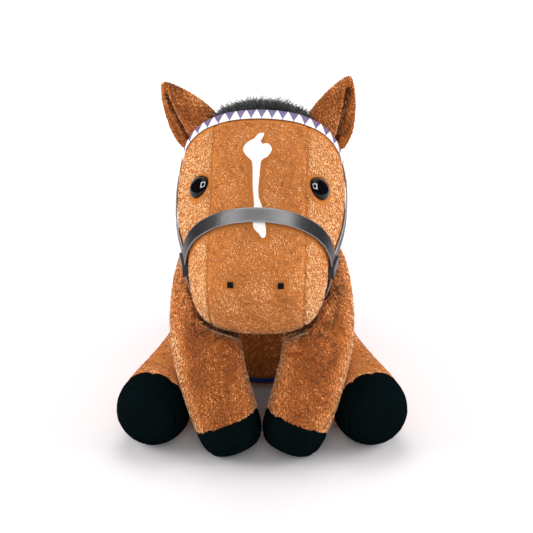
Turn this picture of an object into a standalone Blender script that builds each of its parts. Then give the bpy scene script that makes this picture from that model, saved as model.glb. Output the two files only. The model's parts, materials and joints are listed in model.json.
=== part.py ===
"""Seated plush horse with a bridle: a stuffed torso, head and four legs, sewn at seams that flex.

Frame: metres, +Z up, the horse looks along -Y and rests on z = 0, centred over its origin.
"""
import math

import bmesh
import bpy
from mathutils import Matrix, Vector
from mathutils.bvhtree import BVHTree

MM = 0.001

# Clearances, cutters and fineness
GAP = 0.3 * MM                  # between neighbouring solids
OVERRUN = 90 * MM               # how far a cutter runs past what it cuts
MERGE = 0.002 * MM              # points this near are one point
SWEEP_STEPS = 4                 # copies that stand for the room of a joint's motion
RING_POINTS = 16                # cage points round the torso and head
LIMB_POINTS = 12                # cage points round a leg, ear, mane or tail
TURN_STEPS = 20                 # sides of a turned piece
BALL_SEGMENTS, BALL_RINGS = 24, 16
DOME_STEPS = 6                  # from an eye's rim to its top
SHARP_ANGLE = math.radians(50)

# Torso, an egg that leans forward from the rump to the withers
TORSO_HEIGHT = 112 * MM
TORSO_HALF_WIDTH = 41.5 * MM
TORSO_HALF_DEPTH = 43 * MM
RUMP_Y = 14 * MM
WITHERS_Y = 6 * MM

# Head: a skull, and the muzzle that runs forward and down from it
SKULL_CENTRE = Vector((0, -17 * MM, 113 * MM))
SKULL_HALF_WIDTH = 42.5 * MM
SKULL_HALF_HEIGHT = 41 * MM
HEAD_REACH = 73 * MM
HEAD_PITCH = math.radians(32)
HEAD_TURN = math.radians(-2.5)
NECK_PIVOT = Vector((0, 4 * MM, 93 * MM))
NOD_UP = math.radians(10)       # the chin rests over the forelegs, so it only nods up

# Ears, two leaves folded along their outer edge
EAR_LENGTH = 32 * MM
EAR_WIDTH = 26 * MM
EAR_THICKNESS = 9 * MM
EAR_BASE_ACROSS, EAR_BASE_BACK, EAR_BASE_HEIGHT = 32 * MM, 26 * MM, 17 * MM
LEFT_EAR_LEAN, RIGHT_EAR_LEAN = math.radians(37), math.radians(22)
EAR_BACK_SHARE = 0.12           # how much of an ear's rise goes back
FOLD_DEPTH = 4 * MM
FOLD_ALONG_SHARE, FOLD_ACROSS_SHARE, FOLD_WIDTH_SHARE, FOLD_LENGTH_SHARE = 0.42, 0.3, 0.13, 0.42

# Legs: joint at the body, knee and foot, and the radii along the way
SHOULDER = Vector((29 * MM, -12 * MM, 74 * MM))
FORE_KNEE = Vector((29 * MM, -56 * MM, 53 * MM))
FORE_FOOT = Vector((17 * MM, -81 * MM, 16.5 * MM))
SHOULDER_RADIUS, FORE_KNEE_RADIUS, FORE_FOOT_RADIUS = 15 * MM, 17.5 * MM, 16.5 * MM
HIP = Vector((25 * MM, 10 * MM, 25 * MM))
HIND_KNEE = Vector((40 * MM, -32 * MM, 21 * MM))
HIND_FOOT = Vector((53.5 * MM, -68.5 * MM, 19 * MM))
HIP_RADIUS, HIND_KNEE_RADIUS, HIND_FOOT_RADIUS = 19 * MM, 18 * MM, 19 * MM
FORE_HOOF_BACK, HIND_HOOF_BACK = 1.5 * MM, 1 * MM
SOLE_AHEAD = 11 * MM            # sole seam ahead of the foot's centre
FORE_LIFT = math.radians(5)
HIND_SPLAY = math.radians(15)

# Tail and mane, black long pile
TAIL_ROOT = Vector((0, 52 * MM, 44 * MM))
TAIL_LENGTH = 52 * MM
TAIL_RADIUS = 9 * MM
TAIL_LEAN = math.atan2(3, 4)    # of the tail's slices
TAIL_SWING = math.radians(25)
MANE_HALF_WIDTH = 22 * MM
MANE_DEPTH = 4.5 * MM
MANE_POWER = 2.6                # how square its slices are

# Safety eyes
EYE_DIAMETER = 12 * MM
EYE_RISE = 3.5 * MM
EYE_FLANGE = 1.2 * MM
SHANK_DIAMETER = 3 * MM
SHANK_LENGTH = 9 * MM
WASHER_DIAMETER = 10 * MM
WASHER_THICKNESS = 1.6 * MM
WASHER_DEPTH = 4 * MM
EYE_FORWARD = 18 * MM
EYE_ANGLE = math.radians(45.5)

# Bridle; its places are in the head's own frame
STRAP_WIDTH = 6.5 * MM
STRAP_THICKNESS = 0.8 * MM
BROW_TOP = Vector((0, 20 * MM, 38 * MM))
BROW_TILT = math.radians(-18)
BROW_WIDTH = 6.5 * MM
BROW_REACH = 34 * MM
NOSE_TOP = Vector((0, -37.5 * MM, 31 * MM))
NOSE_TILT = math.radians(-14)
POLL_SIDE = Vector((0, 15 * MM, -2 * MM))
POLL_TILT = math.radians(-45)
CHEEK_START, CHEEK_END = Vector((0, 9 * MM, 2 * MM)), Vector((0, -39.5 * MM, 1 * MM))
LOOP_WALL = 1.5 * MM            # of the loops that hold the noseband

# Stitched marks and the girth ribbon
PATCH_THICKNESS = 0.5 * MM
NOSTRIL_ACROSS, NOSTRIL_FORWARD, NOSTRIL_SIZE = 11.7 * MM, 58 * MM, 2.8 * MM
NOSTRIL_ANGLE = math.radians(62)
BLAZE_START, BLAZE_LENGTH, BLAZE_WIDTH = 7.5 * MM, 55 * MM, 14 * MM
GIRTH_WIDTH = 5 * MM
GIRTH_FRONT_Z = 8.8 * MM
GIRTH_TILT = math.radians(20)

# Heights of the layers over the head's surface
STRAP_HIGH = GAP + STRAP_THICKNESS
NOSE_LOW = 2 * GAP + PATCH_THICKNESS
NOSE_HIGH = NOSE_LOW + STRAP_THICKNESS
LOOP_HIGH = NOSE_HIGH + GAP + STRAP_THICKNESS


def group(name, hidden=False):
    """A collection of the scene, whose objects are left out of renders when hidden."""
    made = bpy.data.collections.new(name)
    bpy.context.scene.collection.children.link(made)
    made.hide_render = hidden
    return made


def clear_scene():
    for old in list(bpy.data.objects):
        bpy.data.objects.remove(old, do_unlink=True)


clear_scene()
HORSE = group("plush_horse")
CUTTERS = group("cutters", hidden=True)


def material(name, colour, roughness, metallic=0.0):
    """Principled material from an sRGB hex colour."""
    made = bpy.data.materials.new(name)
    made.use_nodes = True
    shader = made.node_tree.nodes["Principled BSDF"]
    parts = [int(colour[i:i + 2], 16) / 255 for i in (1, 3, 5)]
    linear = [p / 12.92 if p <= 0.04045 else ((p + 0.055) / 1.055) ** 2.4 for p in parts]
    shader.inputs["Base Color"].default_value = (*linear, 1)
    shader.inputs["Roughness"].default_value = roughness
    shader.inputs["Metallic"].default_value = metallic
    made.diffuse_color = (*linear, 1)
    return made


def brown_plush():
    return material("brown_plush", "#b8723e", 0.95)


def black_plush():
    return material("black_plush", "#14191b", 0.95)


def black_pile():
    return material("black_long_pile", "#1c1c1d", 0.9)


def eye_plastic():
    return material("black_eye_plastic", "#0b0b0d", 0.08)


def washer_plastic():
    return material("white_washer_plastic", "#e8e6e0", 0.4)


def white_satin():
    return material("white_satin_stitch", "#f4f2ee", 0.6)


def black_thread():
    return material("black_thread", "#121214", 0.7)


def strap_leather():
    return material("black_strap_leather", "#26262a", 0.4)


def brow_ribbon():
    return material("printed_brow_ribbon", "#8b7fa6", 0.5)


def navy_ribbon():
    return material("navy_ribbon", "#1a2760", 0.5)


def plain_object(name, mesh, finish=None):
    """An object for a mesh: a part if it has a finish, and otherwise a hidden cutter."""
    made = bpy.data.objects.new(name, mesh)
    if finish is None:
        CUTTERS.objects.link(made)
        made.hide_render = True
        made.display_type = "WIRE"
    else:
        HORSE.objects.link(made)
        mesh.materials.append(finish)
    return made


def mesh_of(name, bm):
    """A mesh from a bmesh, its faces pointing out, and the bmesh freed."""
    bmesh.ops.recalc_face_normals(bm, faces=bm.faces)
    mesh = bpy.data.meshes.new(name)
    bm.to_mesh(mesh)
    bm.free()
    return mesh


def superellipse(turn, half_width, rise, drop, power):
    """A point (side, up) of a ring whose upper and lower halves have their own height."""
    side, up = math.cos(turn), math.sin(turn)
    height = rise if up > 0 else drop
    return (half_width * math.copysign(abs(side) ** (2 / power), side),
            height * math.copysign(abs(up) ** (2 / power), up))


def ring(centre, side, up, half_width, rise, drop, power=2.0, count=RING_POINTS):
    """Cage points round a centre, swelled so that the subdivided ring keeps its size."""
    swell = 1 / (0.75 + 0.25 * math.cos(2 * math.pi / count))
    points = []
    for i in range(count):
        across, along = superellipse(2 * math.pi * i / count, half_width, rise, drop, power)
        points.append(centre + side * across * swell + up * along * swell)
    return points


def loft(name, rings):
    """A closed soft form: a coarse cage through rings of points, subdivided once."""
    bm = bmesh.new()
    loops = [[bm.verts.new(point) for point in points] for points in rings]
    count = len(loops[0])
    for near, far in zip(loops, loops[1:]):
        for i in range(count):
            after = (i + 1) % count
            bm.faces.new((near[i], near[after], far[after], far[i]))
    bm.faces.new(loops[0])
    bm.faces.new(loops[-1])
    rough = plain_object(name + "_cage", mesh_of(name + "_cage", bm))
    soften = rough.modifiers.new("soften", "SUBSURF")
    soften.levels = soften.render_levels = 1
    soften.use_limit_surface = False
    smooth = evaluated(rough, name + "_form")
    bpy.data.objects.remove(rough, do_unlink=True)
    return smooth


def evaluated(source, name):
    """The mesh that an object shows with its modifiers, in world space."""
    graph = bpy.context.evaluated_depsgraph_get()
    mesh = bpy.data.meshes.new_from_object(source.evaluated_get(graph))
    mesh.transform(source.matrix_world)
    mesh.name = name
    return mesh


def moved(mesh, change, name):
    """A copy of a mesh moved by a matrix."""
    copy = mesh.copy()
    copy.name = name
    copy.transform(change)
    return copy


def swollen(mesh, distance, name):
    """A copy of a closed form whose points stand a distance further out along their normals."""
    bm = bmesh.new()
    bm.from_mesh(mesh)
    bm.normal_update()
    for vert in bm.verts:
        vert.co += vert.normal * distance * vert.calc_shell_factor()
    return mesh_of(name, bm)


def boolean(base, others, operation, name):
    """The mesh left when other meshes are cut from a base, joined to it or met with it."""
    host = plain_object(name, base.copy())
    helpers = []
    for other in others:
        helper = plain_object(name + "_tool", other)
        helpers.append(helper)
        step = host.modifiers.new(operation.lower(), "BOOLEAN")
        step.operation = operation
        step.object = helper
        step.solver = "EXACT"
    bpy.context.view_layer.update()
    result = evaluated(host, name)
    for used in [host, *helpers]:
        bpy.data.objects.remove(used, do_unlink=True)
    bm = bmesh.new()
    bm.from_mesh(result)
    bmesh.ops.remove_doubles(bm, verts=bm.verts, dist=MERGE)
    bmesh.ops.dissolve_degenerate(bm, edges=bm.edges, dist=MERGE)
    bm.to_mesh(result)
    bm.free()
    return result


def cut(base, *tools, name="cut"):
    return boolean(base, tools, "DIFFERENCE", name)


def meet(base, *tools, name="met"):
    return boolean(base, tools, "INTERSECT", name)


def half_space(mesh, point, normal, name):
    """What lies behind a plane, with the cut closed by a flat face."""
    bm = bmesh.new()
    bm.from_mesh(mesh)
    bmesh.ops.bisect_plane(bm, geom=bm.verts[:] + bm.edges[:] + bm.faces[:],
                           plane_co=point, plane_no=normal, clear_outer=True, dist=MERGE)
    rim = [edge for edge in bm.edges if edge.is_boundary]
    if rim:
        bmesh.ops.contextual_create(bm, geom=rim)
    return mesh_of(name, bm)


def block(size, place, name):
    """A box of a size, at a place given by a matrix."""
    bm = bmesh.new()
    bmesh.ops.create_cube(bm, size=1, matrix=place @ Matrix.Diagonal((*size, 1)))
    return mesh_of(name, bm)


def ball(radius, centre, name):
    bm = bmesh.new()
    bmesh.ops.create_uvsphere(bm, u_segments=BALL_SEGMENTS, v_segments=BALL_RINGS, radius=radius,
                              matrix=Matrix.Translation(centre))
    return mesh_of(name, bm)


def turned(profile, place, name):
    """A solid turned about Z from (radius, height) points that run from the axis to the axis."""
    bm = bmesh.new()
    points = [bm.verts.new((radius, 0, height)) for radius, height in profile]
    edges = [bm.edges.new(pair) for pair in zip(points, points[1:])]
    bmesh.ops.spin(bm, geom=points + edges, axis=(0, 0, 1), cent=(0, 0, 0),
                   steps=TURN_STEPS, angle=2 * math.pi, use_merge=True)
    bmesh.ops.remove_doubles(bm, verts=bm.verts, dist=MERGE)
    bmesh.ops.transform(bm, matrix=place, verts=bm.verts)
    return mesh_of(name, bm)


def part(name, mesh, finish, pivot=None):
    """A named piece of the horse, with its origin on its joint's axis if it has one."""
    made = plain_object(name, mesh, finish)
    mesh.name = name
    if pivot is not None:
        mesh.transform(Matrix.Translation(-pivot))
        made.location = pivot
    mesh.shade_smooth()
    mesh.set_sharp_from_angle(angle=SHARP_ANGLE)
    return made


# Head frame: its origin is the skull's centre, -Y runs along the muzzle and +Z to the forehead
HEAD_PLACE = (Matrix.Translation(SKULL_CENTRE) @ Matrix.Rotation(HEAD_TURN, 4, "Z")
              @ Matrix.Rotation(HEAD_PITCH, 4, "X"))

# Torso slices: height, lean from rump to withers, half width, back and front, as shares
TORSO_SHARES = (
    (-0.02, 0.00, 0.54, 0.50, 0.68),
    (0.10, 0.00, 0.84, 0.86, 1.03),
    (0.24, 0.00, 0.97, 1.00, 1.09),
    (0.40, 0.05, 1.00, 1.00, 1.02),
    (0.55, 0.30, 0.97, 0.92, 0.92),
    (0.70, 0.65, 0.88, 0.80, 0.78),
    (0.84, 0.90, 0.74, 0.66, 0.62),
    (0.95, 1.00, 0.50, 0.48, 0.44),
    (1.00, 1.00, 0.24, 0.24, 0.20),
)

# Head stations: place along the head's reach, half width, rise and drop, as shares, and power
HEAD_SHARES = (
    (-0.55, 0.26, 0.27, 0.27, 2.0),
    (-0.47, 0.62, 0.62, 0.58, 2.1),
    (-0.29, 0.94, 0.93, 0.87, 2.7),
    (-0.08, 1.0, 1.0, 1.0, 2.5),
    (0.14, 1.0, 0.98, 1.03, 2.25),
    (0.35, 0.965, 0.86, 1.0, 2.2),
    (0.54, 0.85, 0.76, 0.89, 2.3),
    (0.72, 0.785, 0.68, 0.78, 2.5),
    (0.88, 0.74, 0.61, 0.67, 2.6),
    (0.97, 0.61, 0.49, 0.53, 2.6),
    (1.00, 0.38, 0.28, 0.34, 2.4),
)

# Leg stations: place from the joint to the foot, as a share
LEG_SHARES = (0.0, 0.16, 0.33, 0.5, 0.66, 0.82, 1.0)

# Rounded ends of a limb: how far past the last centre and how wide, as shares of its radius
TOP_SHARES = ((0.95, 0.35), (0.6, 0.75))
TOE_SHARES = ((0.45, 0.96), (0.8, 0.78), (0.95, 0.42))

# Ear leaf: place along its length, half width and half thickness, as shares
EAR_SHARES = (
    (-0.22, 0.40, 0.40),
    (0.02, 0.50, 0.50),
    (0.28, 0.47, 0.48),
    (0.55, 0.36, 0.42),
    (0.78, 0.23, 0.34),
    (0.94, 0.10, 0.22),
    (1.00, 0.04, 0.10),
)

# Mane stations: turn back from the forehead, half width and rise, as shares
MANE_SHARES = tuple((math.radians(turn), width, rise) for turn, width, rise in (
    (30, 0.9, 0.7), (36, 1.0, 0.9), (48, 1.0, 1.0), (62, 0.85, 1.0), (76, 0.7, 1.0),
    (90, 0.6, 1.0), (100, 0.55, 0.9), (106, 0.4, 0.6),
))

# Tail stations: back from the root, down to the floor and radius, as shares
TAIL_SHARES = (
    (-0.12, -0.02, 0.5), (0.0, 0.02, 0.8), (0.14, 0.2, 0.95), (0.27, 0.45, 1.0),
    (0.42, 0.66, 1.0), (0.66, 0.76, 0.9), (0.9, 0.80, 0.6), (1.0, 0.80, 0.3),
)

# Star, stripe and snip on the face: across and along, as shares of its width and length
BLAZE_SHARES = (
    (-0.07, 0.013), (0.15, 0.00), (0.18, 0.03), (0.09, 0.09), (0.16, 0.124), (0.36, 0.107),
    (0.46, 0.162), (0.36, 0.218), (0.13, 0.276), (0.085, 0.304), (0.05, 0.536), (0.086, 0.70),
    (0.114, 0.827), (0.243, 0.855), (0.20, 1.00), (0.086, 0.973), (-0.136, 0.90),
    (-0.143, 0.845), (-0.157, 0.70), (-0.20, 0.536), (-0.18, 0.304), (-0.46, 0.227),
    (-0.53, 0.162), (-0.336, 0.09),
)


def torso_form():
    rings = []
    for height, lean, width, back, front in TORSO_SHARES:
        centre = Vector((0, RUMP_Y + (WITHERS_Y - RUMP_Y) * lean, TORSO_HEIGHT * height))
        rings.append(ring(centre, Vector((1, 0, 0)), Vector((0, 1, 0)), TORSO_HALF_WIDTH * width,
                          TORSO_HALF_DEPTH * back, TORSO_HALF_DEPTH * front))
    return loft("torso", rings)


def head_form():
    """The head in its own frame."""
    rings = []
    for along, width, rise, drop, power in HEAD_SHARES:
        rings.append(ring(Vector((0, -HEAD_REACH * along, 0)), Vector((1, 0, 0)),
                          Vector((0, 0, 1)), SKULL_HALF_WIDTH * width,
                          SKULL_HALF_HEIGHT * rise, SKULL_HALF_HEIGHT * drop, power))
    return loft("head", rings)


def bend(start, middle, end, share):
    """A point on the smooth curve from start to end that passes through the middle."""
    pull = 2 * middle - (start + end) / 2
    return start * (1 - share) ** 2 + 2 * pull * share * (1 - share) + end * share ** 2


def heading(start, middle, end, share):
    """The unit direction of that curve."""
    pull = 2 * middle - (start + end) / 2
    return (2 * (pull - start) * (1 - share) + 2 * (end - pull) * share).normalized()


def limb_form(name, top, knee, foot, radii, side):
    """A stuffed leg from inside the body to its rounded toe, on the left or right side."""
    mirror = Vector((side, 1, 1))
    start, middle, end = top * mirror, knee * mirror, foot * mirror

    def section(centre, aim, radius):
        across = Vector((1, 0, 0))
        across = (across - aim * across.dot(aim)).normalized()
        return ring(centre, across, aim.cross(across), radius, radius, radius, count=LIMB_POINTS)

    aim = heading(start, middle, end, 0)
    rings = [section(start - aim * radii[0] * past, aim, radii[0] * wide)
             for past, wide in TOP_SHARES]
    for share in LEG_SHARES:
        if share < 0.5:
            radius = radii[0] + (radii[1] - radii[0]) * share * 2
        else:
            radius = radii[1] + (radii[2] - radii[1]) * (share - 0.5) * 2
        rings.append(section(bend(start, middle, end, share),
                             heading(start, middle, end, share), radius))
    aim = heading(start, middle, end, 1)
    rings += [section(end + aim * radii[2] * past, aim, radii[2] * wide)
              for past, wide in TOE_SHARES]
    return loft(name, rings)


def sweep(mesh, pivot, axis, first, last, steps):
    """Copies of a form turned about an axis, a gap larger: the room that a joint needs."""
    room = swollen(mesh, GAP, "room")
    copies = []
    for i in range(steps + 1):
        turn = Matrix.Rotation(first + (last - first) * i / steps, 4, axis)
        change = Matrix.Translation(pivot) @ turn @ Matrix.Translation(-pivot)
        copies.append(moved(room, change, "room"))
    return copies


def standing(mesh):
    """A form cut flat where it rests on the floor."""
    return half_space(mesh, Vector((0, 0, 0)), Vector((0, 0, -1)), "standing")


def leg_pieces(name, kind, form, foot, aim, hoof_back, pivot, room):
    """A leg, its hoof and its sole, cut from one soft form by two planes across its end."""
    leg = half_space(form, foot - aim * hoof_back, aim, "leg")
    for taken in room:
        leg = cut(leg, taken, name="leg")
    hoof = half_space(form, foot - aim * (hoof_back - GAP), -aim, "hoof")
    tip = foot + aim * SOLE_AHEAD
    sole = half_space(hoof, tip + aim * GAP, -aim, "sole")
    hoof = half_space(hoof, tip, aim, "hoof")
    part(f"{kind}leg_{name}", standing(leg), brown_plush(), pivot)
    part(f"{kind}_hoof_{name}", standing(hoof), black_plush(), pivot)
    part(f"{kind}_sole_{name}", standing(sole), black_plush(), pivot)


def slab(point, tilt, size, name):
    """A box in the head frame, turned about X; its top face is an overrun above the point."""
    place = (Matrix.Translation(point) @ Matrix.Rotation(tilt, 4, "X")
             @ Matrix.Translation((0, 0, OVERRUN - size[2] / 2)))
    return block(size, place, name)


def wrap(form, low, high, *regions):
    """A thin layer round a form, between two heights over its surface, inside the regions."""
    layer = swollen(form, high, "layer")
    for region in regions:
        layer = meet(layer, region, name="layer")
    return cut(layer, swollen(form, low, "under"), name="wrap")


def surface_point(form, start, aim):
    """Where a ray from inside leaves a form, and the surface's normal there."""
    tree = BVHTree.FromPolygons([v.co for v in form.vertices],
                                [p.vertices for p in form.polygons])
    point, normal, _, _ = tree.ray_cast(start, aim)
    return point, normal


def facing(point, normal):
    """A place with +Z along a normal and +X as nearly forward as that lets it."""
    across = Vector((0, -1, 0))
    across = (across - normal * across.dot(normal)).normalized()
    return Matrix.Translation(point) @ Matrix(
        (across, normal.cross(across), normal)).transposed().to_4x4()


def eye_profile():
    """Half outline of a safety eye, from the shank's end to the top of the dome."""
    radius, shank = EYE_DIAMETER / 2, SHANK_DIAMETER / 2
    points = [(0, -SHANK_LENGTH), (shank, -SHANK_LENGTH), (shank, -EYE_FLANGE),
              (radius, -EYE_FLANGE), (radius, 0)]
    for i in range(1, DOME_STEPS):
        turn = math.pi / 2 * i / DOME_STEPS
        points.append((radius * math.cos(turn), EYE_RISE * math.sin(turn)))
    return points + [(0, EYE_RISE)]


def eye_room_profile():
    """Half outline of the room for an eye: its seat, its shank's bore and its washer's pocket."""
    seat = EYE_DIAMETER / 2 + GAP
    bore = SHANK_DIAMETER / 2 + GAP
    pocket = WASHER_DIAMETER / 2 + GAP
    floor = -WASHER_DEPTH - WASHER_THICKNESS - GAP
    return [(0, -SHANK_LENGTH - GAP), (bore, -SHANK_LENGTH - GAP), (bore, floor),
            (pocket, floor), (pocket, -WASHER_DEPTH + GAP), (bore, -WASHER_DEPTH + GAP),
            (bore, -EYE_FLANGE - GAP), (seat, -EYE_FLANGE - GAP), (seat, EYE_RISE),
            (0, EYE_RISE)]


def washer(place):
    """The locking washer, a flat ring that grips the shank inside the head."""
    inner, outer = SHANK_DIAMETER / 2 + GAP, WASHER_DIAMETER / 2
    low, high = -WASHER_DEPTH - WASHER_THICKNESS, -WASHER_DEPTH
    profile = [(inner, low), (outer, low), (outer, high), (inner, high), (inner, low)]
    return turned(profile, place, "washer")


def ear_form(side, lean):
    """A leaf folded along its outer edge, in the horse's own frame."""
    base = HEAD_PLACE @ Vector((side * EAR_BASE_ACROSS, EAR_BASE_BACK, EAR_BASE_HEIGHT))
    aim = Vector((side * math.sin(lean), EAR_BACK_SHARE, math.cos(lean))).normalized()
    across = Vector((side * math.cos(lean), 0, -math.sin(lean)))
    across = (across - aim * across.dot(aim)).normalized()
    depth = aim.cross(across)
    rings = [ring(base + aim * EAR_LENGTH * along, across, depth, EAR_WIDTH * width,
                  EAR_THICKNESS * thick, EAR_THICKNESS * thick, count=LIMB_POINTS)
             for along, width, thick in EAR_SHARES]
    front = depth if depth.y < 0 else -depth
    middle = (base + aim * EAR_LENGTH * FOLD_ALONG_SHARE + across * EAR_WIDTH * FOLD_ACROSS_SHARE
              + front * EAR_THICKNESS / 2)
    hollow = ball(1, Vector((0, 0, 0)), "hollow")
    frame = Matrix((across, depth, aim)).transposed().to_4x4()
    size = Matrix.Diagonal((EAR_WIDTH * FOLD_WIDTH_SHARE, FOLD_DEPTH,
                            EAR_LENGTH * FOLD_LENGTH_SHARE, 1))
    hollow.transform(Matrix.Translation(middle) @ frame @ size)
    return cut(loft("ear", rings), hollow, name="ear")


def mane_form(head):
    """A long-pile strip on the head, round the poll from the browband to the nape."""
    rings = []
    for turn, width, rise in MANE_SHARES:
        aim = Vector((0, math.sin(turn), math.cos(turn)))
        centre, _ = surface_point(head, Vector((0, 0, 0)), aim)
        rings.append(ring(centre, Vector((1, 0, 0)), aim, MANE_HALF_WIDTH * width,
                          MANE_DEPTH * rise, MANE_DEPTH, MANE_POWER, LIMB_POINTS))
    return loft("mane", rings)


def tail_form():
    """The tail, from the rump down to the floor behind."""
    rings = []
    rise = Vector((0, math.sin(TAIL_LEAN), math.cos(TAIL_LEAN)))
    for out, down, share in TAIL_SHARES:
        centre = TAIL_ROOT + Vector((0, TAIL_LENGTH * out, -TAIL_ROOT.z * down))
        radius = TAIL_RADIUS * share
        rings.append(ring(centre, Vector((1, 0, 0)), rise, radius, radius, radius,
                          count=LIMB_POINTS))
    return loft("tail", rings)


def blaze_prism():
    """The blaze's outline as a prism that stands on the head frame's floor."""
    bm = bmesh.new()
    points = [bm.verts.new((BLAZE_WIDTH * across, BLAZE_START - BLAZE_LENGTH * along, 0))
              for across, along in BLAZE_SHARES]
    face = bm.faces.new(points)
    grown = bmesh.ops.extrude_face_region(bm, geom=[face])
    tops = [item for item in grown["geom"] if isinstance(item, bmesh.types.BMVert)]
    bmesh.ops.translate(bm, verts=tops, vec=(0, 0, OVERRUN))
    return mesh_of("blaze_prism", bm)


def brow_slab(room):
    return slab(BROW_TOP, BROW_TILT,
                (2 * OVERRUN, BROW_WIDTH + 2 * room, OVERRUN + BROW_REACH + room), "brow")


def poll_slab(room):
    return slab(POLL_SIDE, POLL_TILT, (2 * OVERRUN, STRAP_WIDTH + 2 * room, OVERRUN), "poll")


def nose_slab(room):
    return slab(NOSE_TOP, NOSE_TILT,
                (2 * OVERRUN, STRAP_WIDTH + 2 * room, 2 * OVERRUN), "nose")


def noseband(head, room):
    """The strap round the muzzle, or with a room the space round it."""
    return wrap(head, NOSE_LOW - room, NOSE_HIGH + room, nose_slab(room))


def strap_loop(head, side):
    """The end of a cheek strap, which goes round the noseband: under it, over it and back."""
    ahead = (NOSE_TOP.z - CHEEK_END.z) * math.tan(-NOSE_TILT)
    middle = Vector((side * OVERRUN / 2, NOSE_TOP.y - ahead, CHEEK_END.z))
    width = STRAP_WIDTH / math.cos(NOSE_TILT) + 2 * (GAP + LOOP_WALL)
    place = Matrix.Translation(middle) @ Matrix.Rotation(NOSE_TILT, 4, "X")
    end = block((OVERRUN, width, STRAP_WIDTH), place, "end")
    return cut(wrap(head, GAP, LOOP_HIGH, end), noseband(head, GAP), name="loop")


def bridle_room(head):
    """What the straps over the head need free round them, in the head frame."""
    skin = swollen(head, STRAP_HIGH + GAP, "skin")
    return [meet(skin, brow_slab(GAP), name="room"), meet(skin, poll_slab(GAP), name="room")]


def build_head(head, ears):
    """The head with its face, eyes and bridle, worked in the head frame and then placed."""
    def placed(name, mesh, finish):
        mesh.transform(HEAD_PLACE)
        return part(name, mesh, finish, NECK_PIVOT)

    placed("browband", wrap(head, GAP, STRAP_HIGH, brow_slab(0)), brow_ribbon())
    placed("headpiece", wrap(head, GAP, STRAP_HIGH, poll_slab(0)), strap_leather())
    placed("noseband", noseband(head, 0), strap_leather())

    cuts = []
    for side, name in ((-1, "left"), (1, "right")):
        middle = (CHEEK_START + CHEEK_END) / 2
        run = CHEEK_END - CHEEK_START
        place = (Matrix.Translation((side * OVERRUN / 2, middle.y, middle.z))
                 @ Matrix.Rotation(math.atan2(run.z, run.y), 4, "X"))
        cheek = block((OVERRUN, run.length, STRAP_WIDTH), place, "cheek")
        loop = strap_loop(head, side)
        strap = cut(wrap(head, GAP, STRAP_HIGH, cheek), swollen(loop, GAP, "loop_room"))
        placed(f"cheek_strap_{name}", strap, strap_leather())
        placed(f"strap_loop_{name}", loop, strap_leather())

        aim = Vector((side * math.sin(EYE_ANGLE), 0, math.cos(EYE_ANGLE)))
        point, _ = surface_point(head, Vector((0, -EYE_FORWARD, 0)), aim)
        seat = facing(point, aim)
        cuts.append(turned(eye_room_profile(), seat, "eye_room"))
        placed(f"eye_{name}", turned(eye_profile(), seat, "eye"), eye_plastic())
        placed(f"eye_washer_{name}", washer(seat), washer_plastic())

        start = Vector((side * NOSTRIL_ACROSS, -NOSTRIL_FORWARD, 0))
        aim = Vector((0, -math.cos(NOSTRIL_ANGLE), math.sin(NOSTRIL_ANGLE)))
        spot = facing(*surface_point(head, start, aim))
        stitches = block((NOSTRIL_SIZE, NOSTRIL_SIZE, 2 * STRAP_WIDTH), spot, "stitches")
        placed(f"nostril_{name}", wrap(head, GAP, GAP + PATCH_THICKNESS, stitches), black_thread())

    placed("blaze", wrap(head, GAP, GAP + PATCH_THICKNESS, blaze_prism()), white_satin())
    mane = cut(mane_form(head), swollen(head, GAP, "scalp"), *bridle_room(head), *ears, name="mane")
    placed("mane", mane, black_pile())
    placed("head", cut(head, *cuts, name="head"), brown_plush())


def build_ears(head):
    """Both ears, seated on the skull; gives the room they need, in the head frame."""
    taken = []
    room = [moved(mesh, HEAD_PLACE, "room")
            for mesh in (*bridle_room(head), swollen(head, GAP, "scalp"))]
    for side, name, lean in ((-1, "left", LEFT_EAR_LEAN), (1, "right", RIGHT_EAR_LEAN)):
        ear = cut(ear_form(side, lean), *room, name="ear")
        taken.append(moved(swollen(ear, GAP, "ear_room"), HEAD_PLACE.inverted(), "ear_room"))
        part(f"ear_{name}", ear, brown_plush(), NECK_PIVOT)
    return taken


def build_legs(torso, skull, chin_strap):
    """Four legs with hooves and soles, each cut by the room that the body and head need."""
    for side, name in ((-1, "left"), (1, "right")):
        mirror = Vector((side, 1, 1))
        shoulder, hip = SHOULDER * mirror, HIP * mirror
        fore = limb_form("fore", SHOULDER, FORE_KNEE, FORE_FOOT,
                         (SHOULDER_RADIUS, FORE_KNEE_RADIUS, FORE_FOOT_RADIUS), side)
        fore = half_space(fore, Vector((side * GAP / 2, 0, 0)), Vector((-side, 0, 0)), "fore")
        aim = heading(shoulder, FORE_KNEE * mirror, FORE_FOOT * mirror, 1)
        room = sweep(torso, shoulder, "X", 0, FORE_LIFT, SWEEP_STEPS)
        room += sweep(skull, NECK_PIVOT, "X", -NOD_UP, 0, SWEEP_STEPS)
        room += sweep(skull, shoulder, "X", 0, FORE_LIFT, SWEEP_STEPS)[1:]
        room += sweep(chin_strap, shoulder, "X", 0, FORE_LIFT, SWEEP_STEPS)
        leg_pieces(name, "fore", fore, FORE_FOOT * mirror, aim, FORE_HOOF_BACK, shoulder, room)
        hind = limb_form("hind", HIP, HIND_KNEE, HIND_FOOT,
                         (HIP_RADIUS, HIND_KNEE_RADIUS, HIND_FOOT_RADIUS), side)
        aim = heading(hip, HIND_KNEE * mirror, HIND_FOOT * mirror, 1)
        hind = cut(hind, *sweep(fore, hip, "Z", -HIND_SPLAY * side, 0, SWEEP_STEPS))
        room = sweep(torso, hip, "Z", -HIND_SPLAY * side, 0, SWEEP_STEPS)
        leg_pieces(name, "hind", hind, HIND_FOOT * mirror, aim, HIND_HOOF_BACK, hip, room)


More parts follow.
